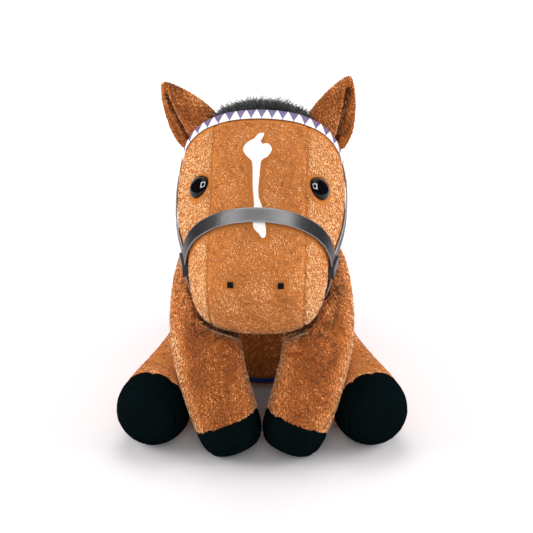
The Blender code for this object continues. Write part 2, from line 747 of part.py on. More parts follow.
def build_girth(torso):
    """The navy ribbon, let into the belly's pile all the way round; gives the room it needs."""
    place = (Matrix.Translation((0, RUMP_Y - TORSO_HALF_DEPTH, GIRTH_FRONT_Z))
             @ Matrix.Rotation(GIRTH_TILT, 4, "X"))
    size = (2 * OVERRUN, 4 * OVERRUN)
    ribbon = meet(torso, block((*size, GIRTH_WIDTH), place, "ribbon"), name="ribbon")
    part("girth_band", cut(ribbon, swollen(torso, -PATCH_THICKNESS, "belly")), navy_ribbon())
    groove = meet(swollen(torso, GAP, "outer"),
                  block((*size, GIRTH_WIDTH + 2 * GAP), place, "groove"), name="groove")
    return cut(groove, swollen(torso, -PATCH_THICKNESS - GAP, "belly"), name="groove")


def centre_over_origin():
    """Hangs every piece on one empty, which puts the middle of the horse over the origin."""
    bpy.context.view_layer.update()
    corners = [piece.matrix_world @ Vector(corner)
               for piece in HORSE.objects for corner in piece.bound_box]
    middle = [(min(c[i] for c in corners) + max(c[i] for c in corners)) / 2 for i in (0, 1)]
    origin = bpy.data.objects.new("horse_origin", None)
    origin.location = (-middle[0], -middle[1], 0)
    for piece in list(HORSE.objects):
        piece.parent = origin
    HORSE.objects.link(origin)
    bpy.context.view_layer.update()


def build_horse():
    torso, head = torso_form(), head_form()
    skull = moved(head, HEAD_PLACE, "skull")
    build_head(head, build_ears(head))
    build_legs(torso, skull, moved(noseband(head, 0), HEAD_PLACE, "chin_strap"))
    groove = build_girth(torso)
    tail_room = sweep(torso, TAIL_ROOT, "Z", -TAIL_SWING, TAIL_SWING, SWEEP_STEPS)
    part("tail", standing(cut(tail_form(), *tail_room, name="tail")), black_pile(), TAIL_ROOT)
    cup = sweep(skull, NECK_PIVOT, "X", -NOD_UP, 0, SWEEP_STEPS)
    body = cut(standing(torso), groove, *cup, name="torso")
    part("torso", body, brown_plush())
    centre_over_origin()


build_horse()
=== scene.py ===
# %% [markdown]
# A seated plush horse with a bridle
#
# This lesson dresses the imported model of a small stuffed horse. The frame already holds every
# piece at its real size and place. Here each soft solid gets a sewn skin that is blown up with
# stuffing, seams that are drawn in, and a short pile. The bridle, the eyes and the stitched
# marks are then laid on that skin. All lengths are in metres.

# %% Load the frame and the tools
import json
import math
from contextlib import contextmanager
import bmesh
import bpy
import numpy as np
from mathutils import Matrix, Vector
from mathutils.bvhtree import BVHTree


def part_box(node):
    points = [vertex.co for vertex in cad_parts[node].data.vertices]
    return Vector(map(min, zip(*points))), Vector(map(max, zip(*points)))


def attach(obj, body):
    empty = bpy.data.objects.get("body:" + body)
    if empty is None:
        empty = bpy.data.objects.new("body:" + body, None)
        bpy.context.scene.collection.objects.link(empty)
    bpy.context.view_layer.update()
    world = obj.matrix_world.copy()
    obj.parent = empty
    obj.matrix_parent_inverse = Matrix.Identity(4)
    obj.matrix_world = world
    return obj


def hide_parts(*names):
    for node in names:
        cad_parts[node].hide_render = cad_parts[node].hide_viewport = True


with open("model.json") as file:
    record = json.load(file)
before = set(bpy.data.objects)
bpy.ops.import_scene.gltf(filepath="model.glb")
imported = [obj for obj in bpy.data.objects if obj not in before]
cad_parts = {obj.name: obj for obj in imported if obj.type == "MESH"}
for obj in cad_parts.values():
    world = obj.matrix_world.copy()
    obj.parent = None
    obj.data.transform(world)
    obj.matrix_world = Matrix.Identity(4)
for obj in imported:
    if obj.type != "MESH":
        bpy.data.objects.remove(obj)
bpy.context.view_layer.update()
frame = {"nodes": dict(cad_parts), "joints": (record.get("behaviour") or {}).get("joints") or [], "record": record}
MM = 0.001
SIGNS = {"left": -1, "right": 1}
joint_at = {joint["name"]: Vector(joint["pos_m"]) for joint in frame["joints"]}

# %% [markdown]
# The head has its own directions. Its pitch and turn are the ones that the head was built with,
# and its origin is the skull's centre, which lies a known way from the neck's joint. Seams,
# straps and eyes are placed in these directions, and then moved to the world by one matrix.

# %% The head's own directions
HEAD_PITCH = math.radians(32)
HEAD_TURN = math.radians(-2.5)
SKULL_FROM_NECK = Vector((0, -21, 20)) * MM
head_place = (Matrix.Translation(joint_at["neck_nod"] + SKULL_FROM_NECK)
              @ Matrix.Rotation(HEAD_TURN, 4, "Z") @ Matrix.Rotation(HEAD_PITCH, 4, "X"))
to_head = head_place.inverted()
print("skull centre:", [round(c / MM, 1) for c in head_place.translation], "mm")

# %% [markdown]
# Colours are written as the sRGB hex values that a paint program shows, and Blender wants linear
# light, so one function converts them. One more function adds a shader node with its settings and
# its inputs, where an input is either a value or the output of another node. The short functions
# after it name the few kinds of node that every material here uses.

# %% Colours and nodes


def linear(colour):
    """Linear RGBA from an sRGB hex colour."""
    parts = [int(colour[i:i + 2], 16) / 255 for i in (1, 3, 5)]
    return [p / 12.92 if p <= 0.04045 else ((p + 0.055) / 1.055) ** 2.4 for p in parts] + [1.0]


def add(tree, kind, settings, inputs):
    """A node of a kind, with its settings, and with inputs that are values or linked outputs."""
    made = tree.nodes.new(kind)
    for name, value in settings.items():
        setattr(made, name, value)
    for key, value in inputs.items():
        if isinstance(value, bpy.types.NodeSocket):
            tree.links.new(value, made.inputs[key])
        else:
            made.inputs[key].default_value = value
    return made


def calculate(tree, operation, *values):
    made = add(tree, "ShaderNodeMath", {"operation": operation}, dict(enumerate(values)))
    return made.outputs[0]


def remap(tree, value, start=0.0, end=1.0, low=0.0, high=1.0, **settings):
    """A value carried from one range to another."""
    made = add(tree, "ShaderNodeMapRange", settings,
               {"Value": value, 1: start, 2: end, 3: low, 4: high})
    return made.outputs[0]


def mixed(tree, factor, *colours):
    """Two colours mixed, each a hex value or an output."""
    first, second = [linear(c) if isinstance(c, str) else c for c in colours]
    made = add(tree, "ShaderNodeMix", {"data_type": "RGBA"},
               {"Factor": factor, 6: first, 7: second})
    return made.outputs[2]


def place_on(tree):
    """Object coordinates, in metres."""
    return add(tree, "ShaderNodeTexCoord", {}, {}).outputs["Object"]


def noise(tree, scale, detail=2.0):
    made = add(tree, "ShaderNodeTexNoise", {},
               {"Vector": place_on(tree), "Scale": scale, "Detail": detail})
    return made.outputs[0]


def read_map(tree):
    """The two numbers of a piece's own UV map, U along it and V across."""
    uv = add(tree, "ShaderNodeUVMap", {"uv_map": "UVMap"}, {})
    return add(tree, "ShaderNodeSeparateXYZ", {}, {0: uv.outputs[0]}).outputs


def bumps(tree, strength, distance, height):
    made = add(tree, "ShaderNodeBump", {},
               {"Strength": strength, "Distance": distance, "Height": height})
    return made.outputs[0]


def feed(shader, **sockets):
    """Gives a shader's inputs a value or an output; an underscore stands for a space."""
    for key, value in sockets.items():
        socket = shader.inputs[key.replace("_", " ")]
        if isinstance(value, bpy.types.NodeSocket):
            shader.id_data.links.new(value, socket)
        else:
            socket.default_value = value


def new_material(name, roughness, **sockets):
    """A Principled material; gives the material, its tree and its shader."""
    made = bpy.data.materials.new(name)
    made.use_nodes = True
    shader = made.node_tree.nodes["Principled BSDF"]
    feed(shader, Roughness=roughness, **sockets)
    return made, made.node_tree, shader


def emptied(owner):
    """The node tree of a world or a material, with nothing in it."""
    owner.use_nodes = True
    owner.node_tree.nodes.clear()
    return owner.node_tree


# %% [markdown]
# The picture is taken from in front, 24 degrees above the level, through a long lens, against a
# white paper sweep in a light tent. The camera looks at a point just behind the muzzle. The floor
# is a pale sheet that keeps the horse's shadow and adds a little white for the camera alone.

# %% Camera
CAMERA_HEIGHT_ANGLE = math.radians(24)
CAMERA_DISTANCE = 0.6
METRES_PER_PIXEL = 0.0005
PHOTO_PIXELS = 533
PHOTO_CENTRE_X = 262
LOOK_AT = Vector((0, -48.4, 85)) * MM
SENSOR = 36

bpy.ops.object.camera_add()
camera = bpy.context.object
camera.name = "camera"
back = Vector((0, -math.cos(CAMERA_HEIGHT_ANGLE), math.sin(CAMERA_HEIGHT_ANGLE)))
camera.location = LOOK_AT + back * CAMERA_DISTANCE
camera.rotation_euler = (math.pi / 2 - CAMERA_HEIGHT_ANGLE, 0, 0)
camera.data.sensor_width = SENSOR
camera.data.lens = SENSOR * CAMERA_DISTANCE / METRES_PER_PIXEL / PHOTO_PIXELS
camera.data.shift_x = (PHOTO_PIXELS / 2 - PHOTO_CENTRE_X) / PHOTO_PIXELS
camera.data.clip_start = 0.01
bpy.context.scene.camera = camera
bpy.context.scene.view_settings.view_transform = "Standard"
print("lens:", round(camera.data.lens, 1), "mm")

# %% Light tent
# Each soft box: its place, the height that it faces, its size, and its power in watts.
SOFT_BOXES = {
    "top_box": ((0.0, 0.3, 0.7), 0.05, 0.5, 3.2),
    "left_box": ((-0.7, -0.05, 0.3), 0.08, 0.6, 6.0),
    "right_box": ((0.7, -0.05, 0.3), 0.08, 0.6, 6.0),
    "front_box": ((0.0, -0.8, 0.45), 0.08, 0.6, 2.8),
}
for name, (place, height, size, power) in SOFT_BOXES.items():
    bpy.ops.object.light_add(type="AREA", location=place)
    lamp = bpy.context.object
    lamp.name = name
    look = Vector((0, 0, height)) - Vector(place)
    lamp.rotation_euler = look.to_track_quat("-Z", "Y").to_euler()
    lamp.data.size = size
    lamp.data.energy = power
    lamp.visible_glossy = False

TENT_LEVEL = 0.4
WHITE = (1, 1, 1, 1)
world = bpy.data.worlds.new("white_tent")
bpy.context.scene.world = world
tent = emptied(world)
path = add(tent, "ShaderNodeLightPath", {}, {}).outputs
seen = calculate(tent, "MAXIMUM", calculate(tent, "MAXIMUM", path["Is Camera Ray"],
                                            path["Is Glossy Ray"]), path["Is Transmission Ray"])
glow = add(tent, "ShaderNodeBackground", {},
           {"Color": WHITE, "Strength": remap(tent, seen, low=TENT_LEVEL)})
add(tent, "ShaderNodeOutputWorld", {}, {"Surface": glow.outputs[0]})

# %% [markdown]
# A glossy eye shows the studio in front of it. There the horse faces a black curtain that runs
# round behind the camera, and a square lamp frame hangs over the lens. Both are there for
# reflections alone.

# %% Lamp frame and black curtain
FRAME_OUTER, FRAME_INNER = 0.56, 0.36
FRAME_STRETCH, FRAME_GLOW = (1.25, 0.9, 1), 34.0
FRAME_HEIGHT_ANGLE = math.radians(64)
FRAME_ASIDE = Vector((-0.05, 0, 0))
CURTAIN_RADIUS, CURTAIN_HEIGHT, CURTAIN_END = 1.1, 2.0, 0.85


def for_reflections(card, name, finish):
    """Names a stage piece, gives it its material, and lets only glossy rays see it."""
    card.name = card.data.name = name
    card.data.materials.append(finish)
    card.visible_camera = card.visible_diffuse = card.visible_shadow = False


def glow_material(name, colour, strength):
    made = bpy.data.materials.new(name)
    tree = emptied(made)
    lit = add(tree, "ShaderNodeEmission", {}, {"Color": linear(colour), "Strength": strength})
    add(tree, "ShaderNodeOutputMaterial", {}, {"Surface": lit.outputs[0]})
    return made


@contextmanager
def editing():
    """Edit mode on the active object with all of it selected, and object mode again after."""
    bpy.ops.object.mode_set(mode="EDIT")
    bpy.ops.mesh.select_all(action="SELECT")
    yield
    bpy.ops.object.mode_set(mode="OBJECT")


bpy.ops.mesh.primitive_cylinder_add(vertices=48, radius=CURTAIN_RADIUS, depth=CURTAIN_HEIGHT,
                                    end_fill_type="NOTHING", location=(0, 0, CURTAIN_HEIGHT / 2))
curtain = bpy.context.object
with editing():
    bpy.ops.mesh.bisect(plane_co=(0, CURTAIN_END, 0), plane_no=(0, 1, 0), clear_outer=True)
for_reflections(curtain, "black_curtain", glow_material("black_cloth", "#0a0a0b", 1.0))

over = Vector((0, -math.cos(FRAME_HEIGHT_ANGLE), math.sin(FRAME_HEIGHT_ANGLE)))
bpy.ops.mesh.primitive_plane_add(size=FRAME_OUTER,
                                 location=LOOK_AT + over * CAMERA_DISTANCE + FRAME_ASIDE,
                                 rotation=(math.pi / 2 - FRAME_HEIGHT_ANGLE, 0, 0))
lamp_frame = bpy.context.object
with editing():
    bpy.ops.mesh.inset(thickness=(FRAME_OUTER - FRAME_INNER) / 2)
    bpy.ops.mesh.delete(type="FACE")
lamp_frame.scale = FRAME_STRETCH
for_reflections(lamp_frame, "lamp_frame", glow_material("frame_lamp", "#ffffff", FRAME_GLOW))

# %% Paper sweep
FLOOR_SIZE = 6.0
SHADOW_END, WHITE_START, PAPER_LIFT = 0.16, 0.4, 0.7
bpy.ops.mesh.primitive_plane_add(size=FLOOR_SIZE, location=(0, 0, 0))
floor = bpy.context.object
floor.name = "paper_floor"
paper = bpy.data.materials.new("white_paper")
tree = emptied(paper)
path = add(tree, "ShaderNodeLightPath", {}, {}).outputs
away = add(tree, "ShaderNodeVectorMath", {"operation": "LENGTH"}, {0: place_on(tree)})
fade = remap(tree, away.outputs["Value"], SHADOW_END, WHITE_START, high=PAPER_LIFT)
lift = calculate(tree, "MULTIPLY", path["Is Camera Ray"], fade)
matt = add(tree, "ShaderNodeBsdfDiffuse", {}, {"Color": linear("#dfdcde")})
lit = add(tree, "ShaderNodeEmission", {}, {"Color": WHITE, "Strength": lift})
both = add(tree, "ShaderNodeAddShader", {}, {0: matt.outputs[0], 1: lit.outputs[0]})
add(tree, "ShaderNodeOutputMaterial", {}, {"Surface": both.outputs[0]})
floor.data.materials.append(paper)

# %% [markdown]
# The plush skins
#
# A plush horse is sewn from flat cuts of pile fabric and blown up with loose fibre. Each skin
# starts from its CAD solid: a copy is merged, remeshed to even squares, and put through a cloth
# simulation with air pressure inside, so that it crowns between its seams. The points along a
# seam are pinned, as thread holds them. How far a point may move is capped, so the skin keeps
# to the solid's place.

# %% Helpers for skins
MERGE = 0.01 * MM
PRESSURE = 4.0
CLOTH_FRAMES = 20
SEAM_PIN_REACH = 1.6 * MM
FLOOR_CLEARANCE = 0.1 * MM
# These keep a division by a length or an area from meeting zero.
TINY, TINY_AREA = 1e-9, 1e-12
rng = np.random.default_rng(7)


def only(piece):
    """Selects one object alone and makes it active, as every operator needs."""
    bpy.ops.object.select_all(action="DESELECT")
    piece.select_set(True)
    bpy.context.view_layer.objects.active = piece


def linked(name, mesh):
    """A new object in the scene for a mesh."""
    made = bpy.data.objects.new(name, mesh)
    bpy.context.scene.collection.objects.link(made)
    return made


def copy_of_nodes(name, *nodes):
    """One new mesh object from copies of CAD nodes, with their loose triangles merged."""
    bm = bmesh.new()
    for node in nodes:
        bm.from_mesh(frame["nodes"][node].data)
    mesh = bpy.data.meshes.new(name)
    bm.to_mesh(mesh)
    bm.free()
    made = linked(name, mesh)
    only(made)
    with editing():
        bpy.ops.mesh.remove_doubles(threshold=MERGE)
    return made


def apply(piece, kind, name, **settings):
    """Adds one modifier with its settings, and applies it."""
    only(piece)
    made = piece.modifiers.new(name, kind)
    for key, value in settings.items():
        setattr(made, key, value)
    bpy.ops.object.modifier_apply(modifier=made.name)


def vectors_of(items, key):
    flat = np.empty(len(items) * 3)
    items.foreach_get(key, flat)
    return flat.reshape(-1, 3)


def points_of(mesh):
    return vectors_of(mesh.vertices, "co")


def normals_of(mesh):
    return vectors_of(mesh.vertex_normals, "vector")


def set_points(mesh, points):
    mesh.vertices.foreach_set("co", points.ravel())
    mesh.update()


def blow_up(piece, seam_distance, cap):
    """Cloth under pressure, held at its seams, with each point's move capped, then applied."""
    before = points_of(piece.data)
    if seam_distance is not None:
        held = piece.vertex_groups.new(name="held_by_thread")
        near = np.flatnonzero(seam_distance(before) < SEAM_PIN_REACH)
        held.add([int(i) for i in near], 1.0, "REPLACE")
    cloth = piece.modifiers.new("stuffing", "CLOTH")
    cloth.settings.quality = 4
    cloth.settings.use_pressure = True
    cloth.settings.uniform_pressure_force = PRESSURE
    cloth.settings.effector_weights.gravity = 0
    if seam_distance is not None:
        cloth.settings.vertex_group_mass = held.name
    cloth.point_cache.frame_start = 1
    cloth.point_cache.frame_end = CLOTH_FRAMES
    for step in range(1, CLOTH_FRAMES + 1):
        bpy.context.scene.frame_set(step)
    only(piece)
    bpy.ops.object.modifier_apply(modifier=cloth.name)
    bpy.context.scene.frame_set(1)
    after = points_of(piece.data)
    move = after - before
    length = np.linalg.norm(move, axis=1, keepdims=True)
    move *= np.minimum(1.0, cap / np.maximum(length, TINY))
    set_points(piece.data, before + move)
    print(piece.name, "swelled by up to", round(float(length.max()) / MM, 2),
          "mm before the cap of", round(cap / MM, 2))


def draw_in(piece, distance, depth, reach):
    """Draws the skin in along a seam, most on the seam itself."""
    points = points_of(piece.data)
    share = np.clip(1 - distance(points) / reach, 0, 1) ** 1.5
    set_points(piece.data, points - normals_of(piece.data) * (share * depth)[:, None])


def skin(name, nodes, voxel, cap, smooth=6, seam_distance=None):
    """A stuffed skin that stands for CAD solids.

    It is remeshed in squares of the voxel size, smoothed, and swells by the cap at most.
    """
    made = copy_of_nodes(name, *nodes)
    made.data.remesh_voxel_size = voxel
    bpy.ops.object.voxel_remesh()
    apply(made, "SMOOTH", "even", factor=0.5, iterations=smooth)
    blow_up(made, seam_distance, cap)
    apply(made, "SUBSURF", "fine", levels=1, render_levels=1)
    points = points_of(made.data)
    points[:, 2] = np.maximum(points[:, 2], FLOOR_CLEARANCE)
    set_points(made.data, points)
    only(made)
    bpy.ops.object.shade_smooth()
    print(name, "has", len(made.data.vertices), "points")
    return made

# %% [markdown]
# The head's skin
#
# A toy horse's head is a side panel on each cheek and one long gusset that runs from the poll
# over the forehead and muzzle down to the chin. The two seams beside the gusset are the lines
# that the stuffing can't push out. The sockets are where the safety eyes draw the pile in.

# %% Seams and sockets of the head
GUSSET_HALF_WIDTH, GUSSET_LOW, GUSSET_FRONT = 23 * MM, -4 * MM, -45 * MM
FAR_AWAY = 1.0
GUSSET_SEAM_DEPTH, GUSSET_SEAM_REACH = 0.7 * MM, 1.6 * MM
EYE_ANGLE = math.radians(45.5)
EYE_RISE = 3.5 * MM
EYE_SOCKET, EYE_RIM = 6.3 * MM, 9.5 * MM
SOCKET_DEPTH, SOCKET_BACK = 0.6 * MM, -8 * MM
eye_points = {}
for side in SIGNS:
    low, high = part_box("eye_" + side)
    eye_points[side] = points_of(frame["nodes"]["eye_" + side].data)
    print(side, "eye fills", [round((b - a) / MM, 1) for a, b in zip(low, high)], "mm")


def placed(points, matrix):
    turn = np.array(matrix)
    return points @ turn[:3, :3].T + turn[:3, 3]


def in_head(points):
    """Points in the head's own directions."""
    return placed(points, to_head)


def from_head(points):
    return placed(points, head_place)


def eye_seat(side):
    """The place of an eye: its middle at the rim, and the direction that it looks in."""
    local = in_head(eye_points[side])
    aim = np.array([SIGNS[side] * math.sin(EYE_ANGLE), 0.0, math.cos(EYE_ANGLE)])
    along = local @ aim
    crown = local[along > along.max() - MERGE].mean(axis=0)
    return crown - aim * EYE_RISE, aim


for side in SIGNS:
    middle, aim = eye_seat(side)
    print(side, "eye at", np.round(middle / MM, 1), "in the head's directions")


def on_upper_side(local):
    """True for places over the head's middle, or in front of it, where the gusset runs."""
    return (local[:, 2] > GUSSET_LOW) | (local[:, 1] < GUSSET_FRONT)


def gusset_distance(points):
    """How far points of the head lie from the seams beside the gusset."""
    local = in_head(points)
    off = np.abs(np.abs(local[:, 0]) - GUSSET_HALF_WIDTH)
    return np.where(on_upper_side(local), off, FAR_AWAY)


# %% Sew the head
head_skin = skin("head_skin", ["head", "eye_left", "eye_right"], voxel=2.2 * MM, cap=0.8 * MM,
                 smooth=4, seam_distance=gusset_distance)


def smoothstep(low, high, value):
    share = np.clip((value - low) / (high - low), 0, 1)
    return share * share * (3 - 2 * share)


def press_sockets(piece):
    """Presses the plush flat behind each eye, and lets it rise round the rim."""
    points = in_head(points_of(piece.data))
    for side in SIGNS:
        middle, aim = eye_seat(side)
        away = points - middle
        height = away @ aim
        flat = np.linalg.norm(away - np.outer(height, aim), axis=1)
        near = (flat < EYE_RIM) & (height > SOCKET_BACK)
        keep = smoothstep(EYE_SOCKET, EYE_RIM, flat)
        moved = (height + SOCKET_DEPTH) * keep - SOCKET_DEPTH
        points[near] += np.outer(moved - height, aim)[near]
    set_points(piece.data, from_head(points))


press_sockets(head_skin)
draw_in(head_skin, gusset_distance, GUSSET_SEAM_DEPTH, GUSSET_SEAM_REACH)

# %% [markdown]
# The torso, the legs and the feet
#
# A leg is one stuffed tube: brown plush down to a seam, then the black plush of the hoof, then a
# round sole. So each leg is blown up whole, with its two seams held, and only then cut at the
# seams into the three pieces that a maker would sew together.

# %% Where the feet are sewn
SEAM_DEPTH = 0.5 * MM
SEAM_REACH = 1.4 * MM
LIMBS = {
    "fore": {"joint": "lift", "foot": Vector((-12, -69, -57.5)) * MM,
             "aim": Vector((-18, -15.5, -44.25)).normalized(), "back": 1.5 * MM},
    "hind": {"joint": "splay", "foot": Vector((28.5, -78.5, -6)) * MM,
             "aim": Vector((12.75, -33.75, -1)).normalized(), "back": 1.0 * MM},
}
SOLE_AHEAD = 11 * MM


def seams_of(kind, side):
    """The two planes where a leg's hoof and sole are sewn on: points, and one direction."""
    limb = LIMBS[kind]
    mirror = Vector((SIGNS[side], 1, 1))
    start = joint_at[f"{kind}leg_{side}_{limb['joint']}"]
    foot = start + limb["foot"] * mirror
    aim = limb["aim"] * mirror
    return (foot - aim * limb["back"], foot + aim * SOLE_AHEAD), aim


def cut_off(piece, point, direction, name):
    """A new piece from what lies ahead of a plane; the piece keeps the rest."""
    ahead = piece.copy()
    ahead.data = piece.data.copy()
    ahead.name = ahead.data.name = name
    bpy.context.scene.collection.objects.link(ahead)
    for each, outer in ((piece, True), (ahead, False)):
        only(each)
        with editing():
            bpy.ops.mesh.bisect(plane_co=point, plane_no=direction, use_fill=True,
                                clear_outer=outer, clear_inner=not outer)
    return ahead


# %% [markdown]
# A foreleg that bends under the chest wrinkles at its inner side. Each wrinkle is a short line
# along which the skin is drawn in, with a soft lip on both sides.

# %% Wrinkles of the forelegs
WRINKLES_MM = {
    "left": (((-17.6, -74.7, 57.3), (-12.3, -74.7, 50.7)), ((-28, -84, 51), (-14, -82, 47))),
    "right": (((13, -76, 51.5), (20.5, -81, 53.5)), ((13, -63, 53.5), (19, -62, 55.5))),
}
WRINKLE_DEPTH, WRINKLE_REACH = 1.5 * MM, 1.7 * MM
LIP_RISE, LIP_AWAY = 0.7 * MM, 3.0 * MM
# A wrinkle fades at its ends, as if they lay this much further away.
WRINKLE_FADE = 0.8 * MM


def from_wrinkles(side):
    """How far points lie from the nearest wrinkle of a foreleg."""
    def distance(points):
        off = []
        for start, end in WRINKLES_MM[side]:
            start, run = np.array(start) * MM, (np.array(end) - np.array(start)) * MM
            share = np.clip((points - start) @ run / (run @ run), 0, 1)
            off.append(np.linalg.norm(points - start - share[:, None] * run, axis=1)
                       + WRINKLE_FADE * (2 * share - 1) ** 2)
        return np.minimum(*off)

    return distance


# %% Sew the legs
skins = {"head": head_skin}
for kind in LIMBS:
    for side in SIGNS:
        planes, aim = seams_of(kind, side)

        def seam_distance(points):
            off = [np.abs((points - np.array(point)) @ np.array(aim)) for point in planes]
            return np.minimum(*off)

        nodes = [f"{kind}leg_{side}", f"{kind}_hoof_{side}", f"{kind}_sole_{side}"]
        leg = skin(f"{kind}leg_{side}_skin", nodes, voxel=2.0 * MM, cap=1.0 * MM,
                   smooth=4, seam_distance=seam_distance)
        draw_in(leg, seam_distance, SEAM_DEPTH, SEAM_REACH)
        if kind == "fore":
            off = from_wrinkles(side)
            draw_in(leg, lambda points: np.abs(off(points) - LIP_AWAY), -LIP_RISE, WRINKLE_REACH)
            draw_in(leg, off, WRINKLE_DEPTH, WRINKLE_REACH)
        hoof = cut_off(leg, planes[0], aim, f"{kind}_hoof_{side}_skin")
        sole = cut_off(hoof, planes[1], aim, f"{kind}_sole_{side}_skin")
        for piece, node in zip((leg, hoof, sole), nodes):
            skins[node] = piece

# %% Sew the torso
CHEST_SEAM_DEPTH, CHEST_SEAM_REACH = 0.5 * MM, 1.6 * MM


def chest_seam(points):
    """How far points of the torso's front lie from the seam down its middle."""
    return np.where(points[:, 1] < 0, np.abs(points[:, 0]), FAR_AWAY)


torso_skin = skin("torso_skin", ["torso", "girth_band"], voxel=2.5 * MM, cap=1.2 * MM,
                  seam_distance=chest_seam)
draw_in(torso_skin, chest_seam, CHEST_SEAM_DEPTH, CHEST_SEAM_REACH)
skins["torso"] = torso_skin

# %% [markdown]
# The ears
#
# An ear is a leaf of plush folded lengthwise, so that its front panel overlaps a narrower flap
# on the outer side. Between the two lies a slit, deep in shade, whose backing is also painted dark
# as painted shade. The fold is pressed into the ear's skin in the ear's own directions: along it,
# across it towards the outside, and out of its front.

# %% Sew and fold the ears
EAR_LENGTH, EAR_WIDTH = 32 * MM, 26 * MM
EAR_BASE = Vector((32, 26, 17)) * MM
EAR_LEANS = {"left": math.radians(37), "right": math.radians(22)}
FOLD_PLACES = {"left": (0.50, 0.30), "right": (0.46, 0.24)}
PANEL_SWELL, PANEL_HALF_WIDTH = 0.9 * MM, 0.35
FOLD_DEPTH, FOLD_HALF_WIDTHS = 4.4 * MM, {"left": 1.4 * MM, "right": 2.1 * MM}
# Shares of an ear's length, and how wide its half is there, as shares of its width.
EAR_OUTLINE = ((0.0, 0.28, 0.55, 0.78, 0.94, 1.0), (0.5, 0.47, 0.36, 0.23, 0.10, 0.04))
FOLD_OUTLINE = ((0.0, 0.55, 0.94), (0.5, 0.36, 0.10))


def ear_frame(side):
    """An ear's base and its directions: along, across to the outside, and to the front."""
    sign, lean = SIGNS[side], EAR_LEANS[side]
    base = head_place @ Vector((sign * EAR_BASE.x, EAR_BASE.y, EAR_BASE.z))
    along = Vector((sign * math.sin(lean), 0.12, math.cos(lean))).normalized()
    across = Vector((sign * math.cos(lean), 0, -math.sin(lean)))
    across = (across - along * across.dot(along)).normalized()
    front = along.cross(across)
    if front.y > 0:
        front = -front
    return np.array(base), np.array(along), np.array(across), np.array(front)


def in_ear(side, points):
    """Places in an ear: share along it, share of its half width across it, and metres forward."""
    base, along, across, front = ear_frame(side)
    away = points - base
    t = away @ along / EAR_LENGTH
    half = EAR_WIDTH * np.interp(t, *EAR_OUTLINE)
    return t, away @ across / half, away @ front


def fold_depth(side, points):
    """How deep the fold is at places on an ear's front, from 0 to 1."""
    t, across, forward = in_ear(side, points)
    low, high = FOLD_PLACES[side]
    middle = low + (high - low) * np.clip(t, 0, 1)
    half = EAR_WIDTH * np.interp(t, *FOLD_OUTLINE)
    off = np.abs(across - middle) * half / FOLD_HALF_WIDTHS[side]
    ends = smoothstep(-0.15, 0.1, t) * (1 - smoothstep(0.74, 0.9, t))
    return (1 - smoothstep(0.45, 1.15, off)) * ends * (forward > 0)


for side in SIGNS:
    ear = skin(f"ear_{side}_skin", ["ear_" + side], voxel=0.9 * MM, cap=0.5 * MM, smooth=3)
    points = points_of(ear.data)
    front = ear_frame(side)[3]
    _, across, forward = in_ear(side, points)
    from_middle = np.abs(across - FOLD_PLACES[side][0] + PANEL_HALF_WIDTH)
    swell = PANEL_SWELL * (1 - smoothstep(0.0, PANEL_HALF_WIDTH, from_middle))
    set_points(ear.data, points + front * (swell * (forward > 0)
                                           - FOLD_DEPTH * fold_depth(side, points))[:, None])
    # in_fold holds the fold's depth, by which the backing is painted with the fold's shade.
    shade = ear.data.color_attributes.new(name="in_fold", type="FLOAT_COLOR", domain="POINT")
    shade.data.foreach_set("color", np.repeat(fold_depth(side, points), 4))
    skins["ear_" + side] = ear

# %% [markdown]
# The pile
#
# Short plush pile is thousands of fine fibres per square centimetre. Hair curves would look the
# same, but they have no mesh, so here each tuft is one narrow blade of two faces that tapers to
# a tip. The blades stand on the skin, lean the way that the pile was brushed, and clump with
# their neighbours. The places come from one seeded generator, so they never change.

# %% Noise and the nap
WAVES_SUMMED = 6


def waves(points, size, seed):
    """A smooth field, mostly from -1 to 1, whose lumps are about as large as a size."""
    draw = np.random.default_rng(seed)
    total = np.zeros(len(points))
    for _ in range(WAVES_SUMMED):
        aim = draw.normal(size=3)
        aim /= np.linalg.norm(aim)
        turn = draw.uniform(0, 2 * math.pi)
        step = size * draw.uniform(1.6, 2.6)
        total += np.sin(points @ aim * (2 * math.pi / step) + turn)
    return total / (WAVES_SUMMED / 2)


def unit(vectors):
    return vectors / np.maximum(np.linalg.norm(vectors, axis=1, keepdims=True), TINY)


def scatter(piece, per_mm2, keep):
    """Even random places on a piece's faces, with their normals."""
    mesh = piece.data
    mesh.calc_loop_triangles()
    count = len(mesh.loop_triangles)
    corners = np.empty(count * 3, dtype=np.int32)
    mesh.loop_triangles.foreach_get("vertices", corners)
    corners = corners.reshape(-1, 3)
    points, normals = points_of(mesh), normals_of(mesh)
    a, b, c = (points[corners[:, i]] for i in range(3))
    across = np.cross(b - a, c - a)
    area = np.linalg.norm(across, axis=1) / 2
    good = keep((a + b + c) / 3, across / np.maximum(area, TINY_AREA)[:, None] / 2)
    area = np.where(good, area, 0.0)
    ends = np.cumsum(area)
    wanted = int(ends[-1] / MM ** 2 * per_mm2)
    spots = (np.arange(wanted) + rng.uniform(size=wanted)) / wanted * ends[-1]
    face = np.minimum(np.searchsorted(ends, spots), count - 1)
    u, v = rng.uniform(size=(2, wanted))
    over = u + v > 1
    u[over], v[over] = 1 - u[over], 1 - v[over]
    w = 1 - u - v

    def within(field):
        """A field's values at the places, mixed from the face's three corners."""
        first, second, third = (field[corners[face, i]] for i in range(3))
        return first * w[:, None] + second * u[:, None] + third * v[:, None]

    return within(points), unit(within(normals))


def steady(way):
    """The same nap all over a piece."""
    return lambda roots: np.repeat(np.array(way, float)[None], len(roots), axis=0)


def everywhere(middle, aim):
    return np.full(len(middle), True)


def nowhere(roots, normals):
    return np.zeros(len(roots))


def tree_of(*pieces):
    """One search tree over the faces of some pieces."""
    points, faces = [], []
    for piece in pieces:
        start = len(points)
        points += [v.co.copy() for v in piece.data.vertices]
        faces += [[start + i for i in p.vertices] for p in piece.data.polygons]
    return BVHTree.FromPolygons(points, faces)


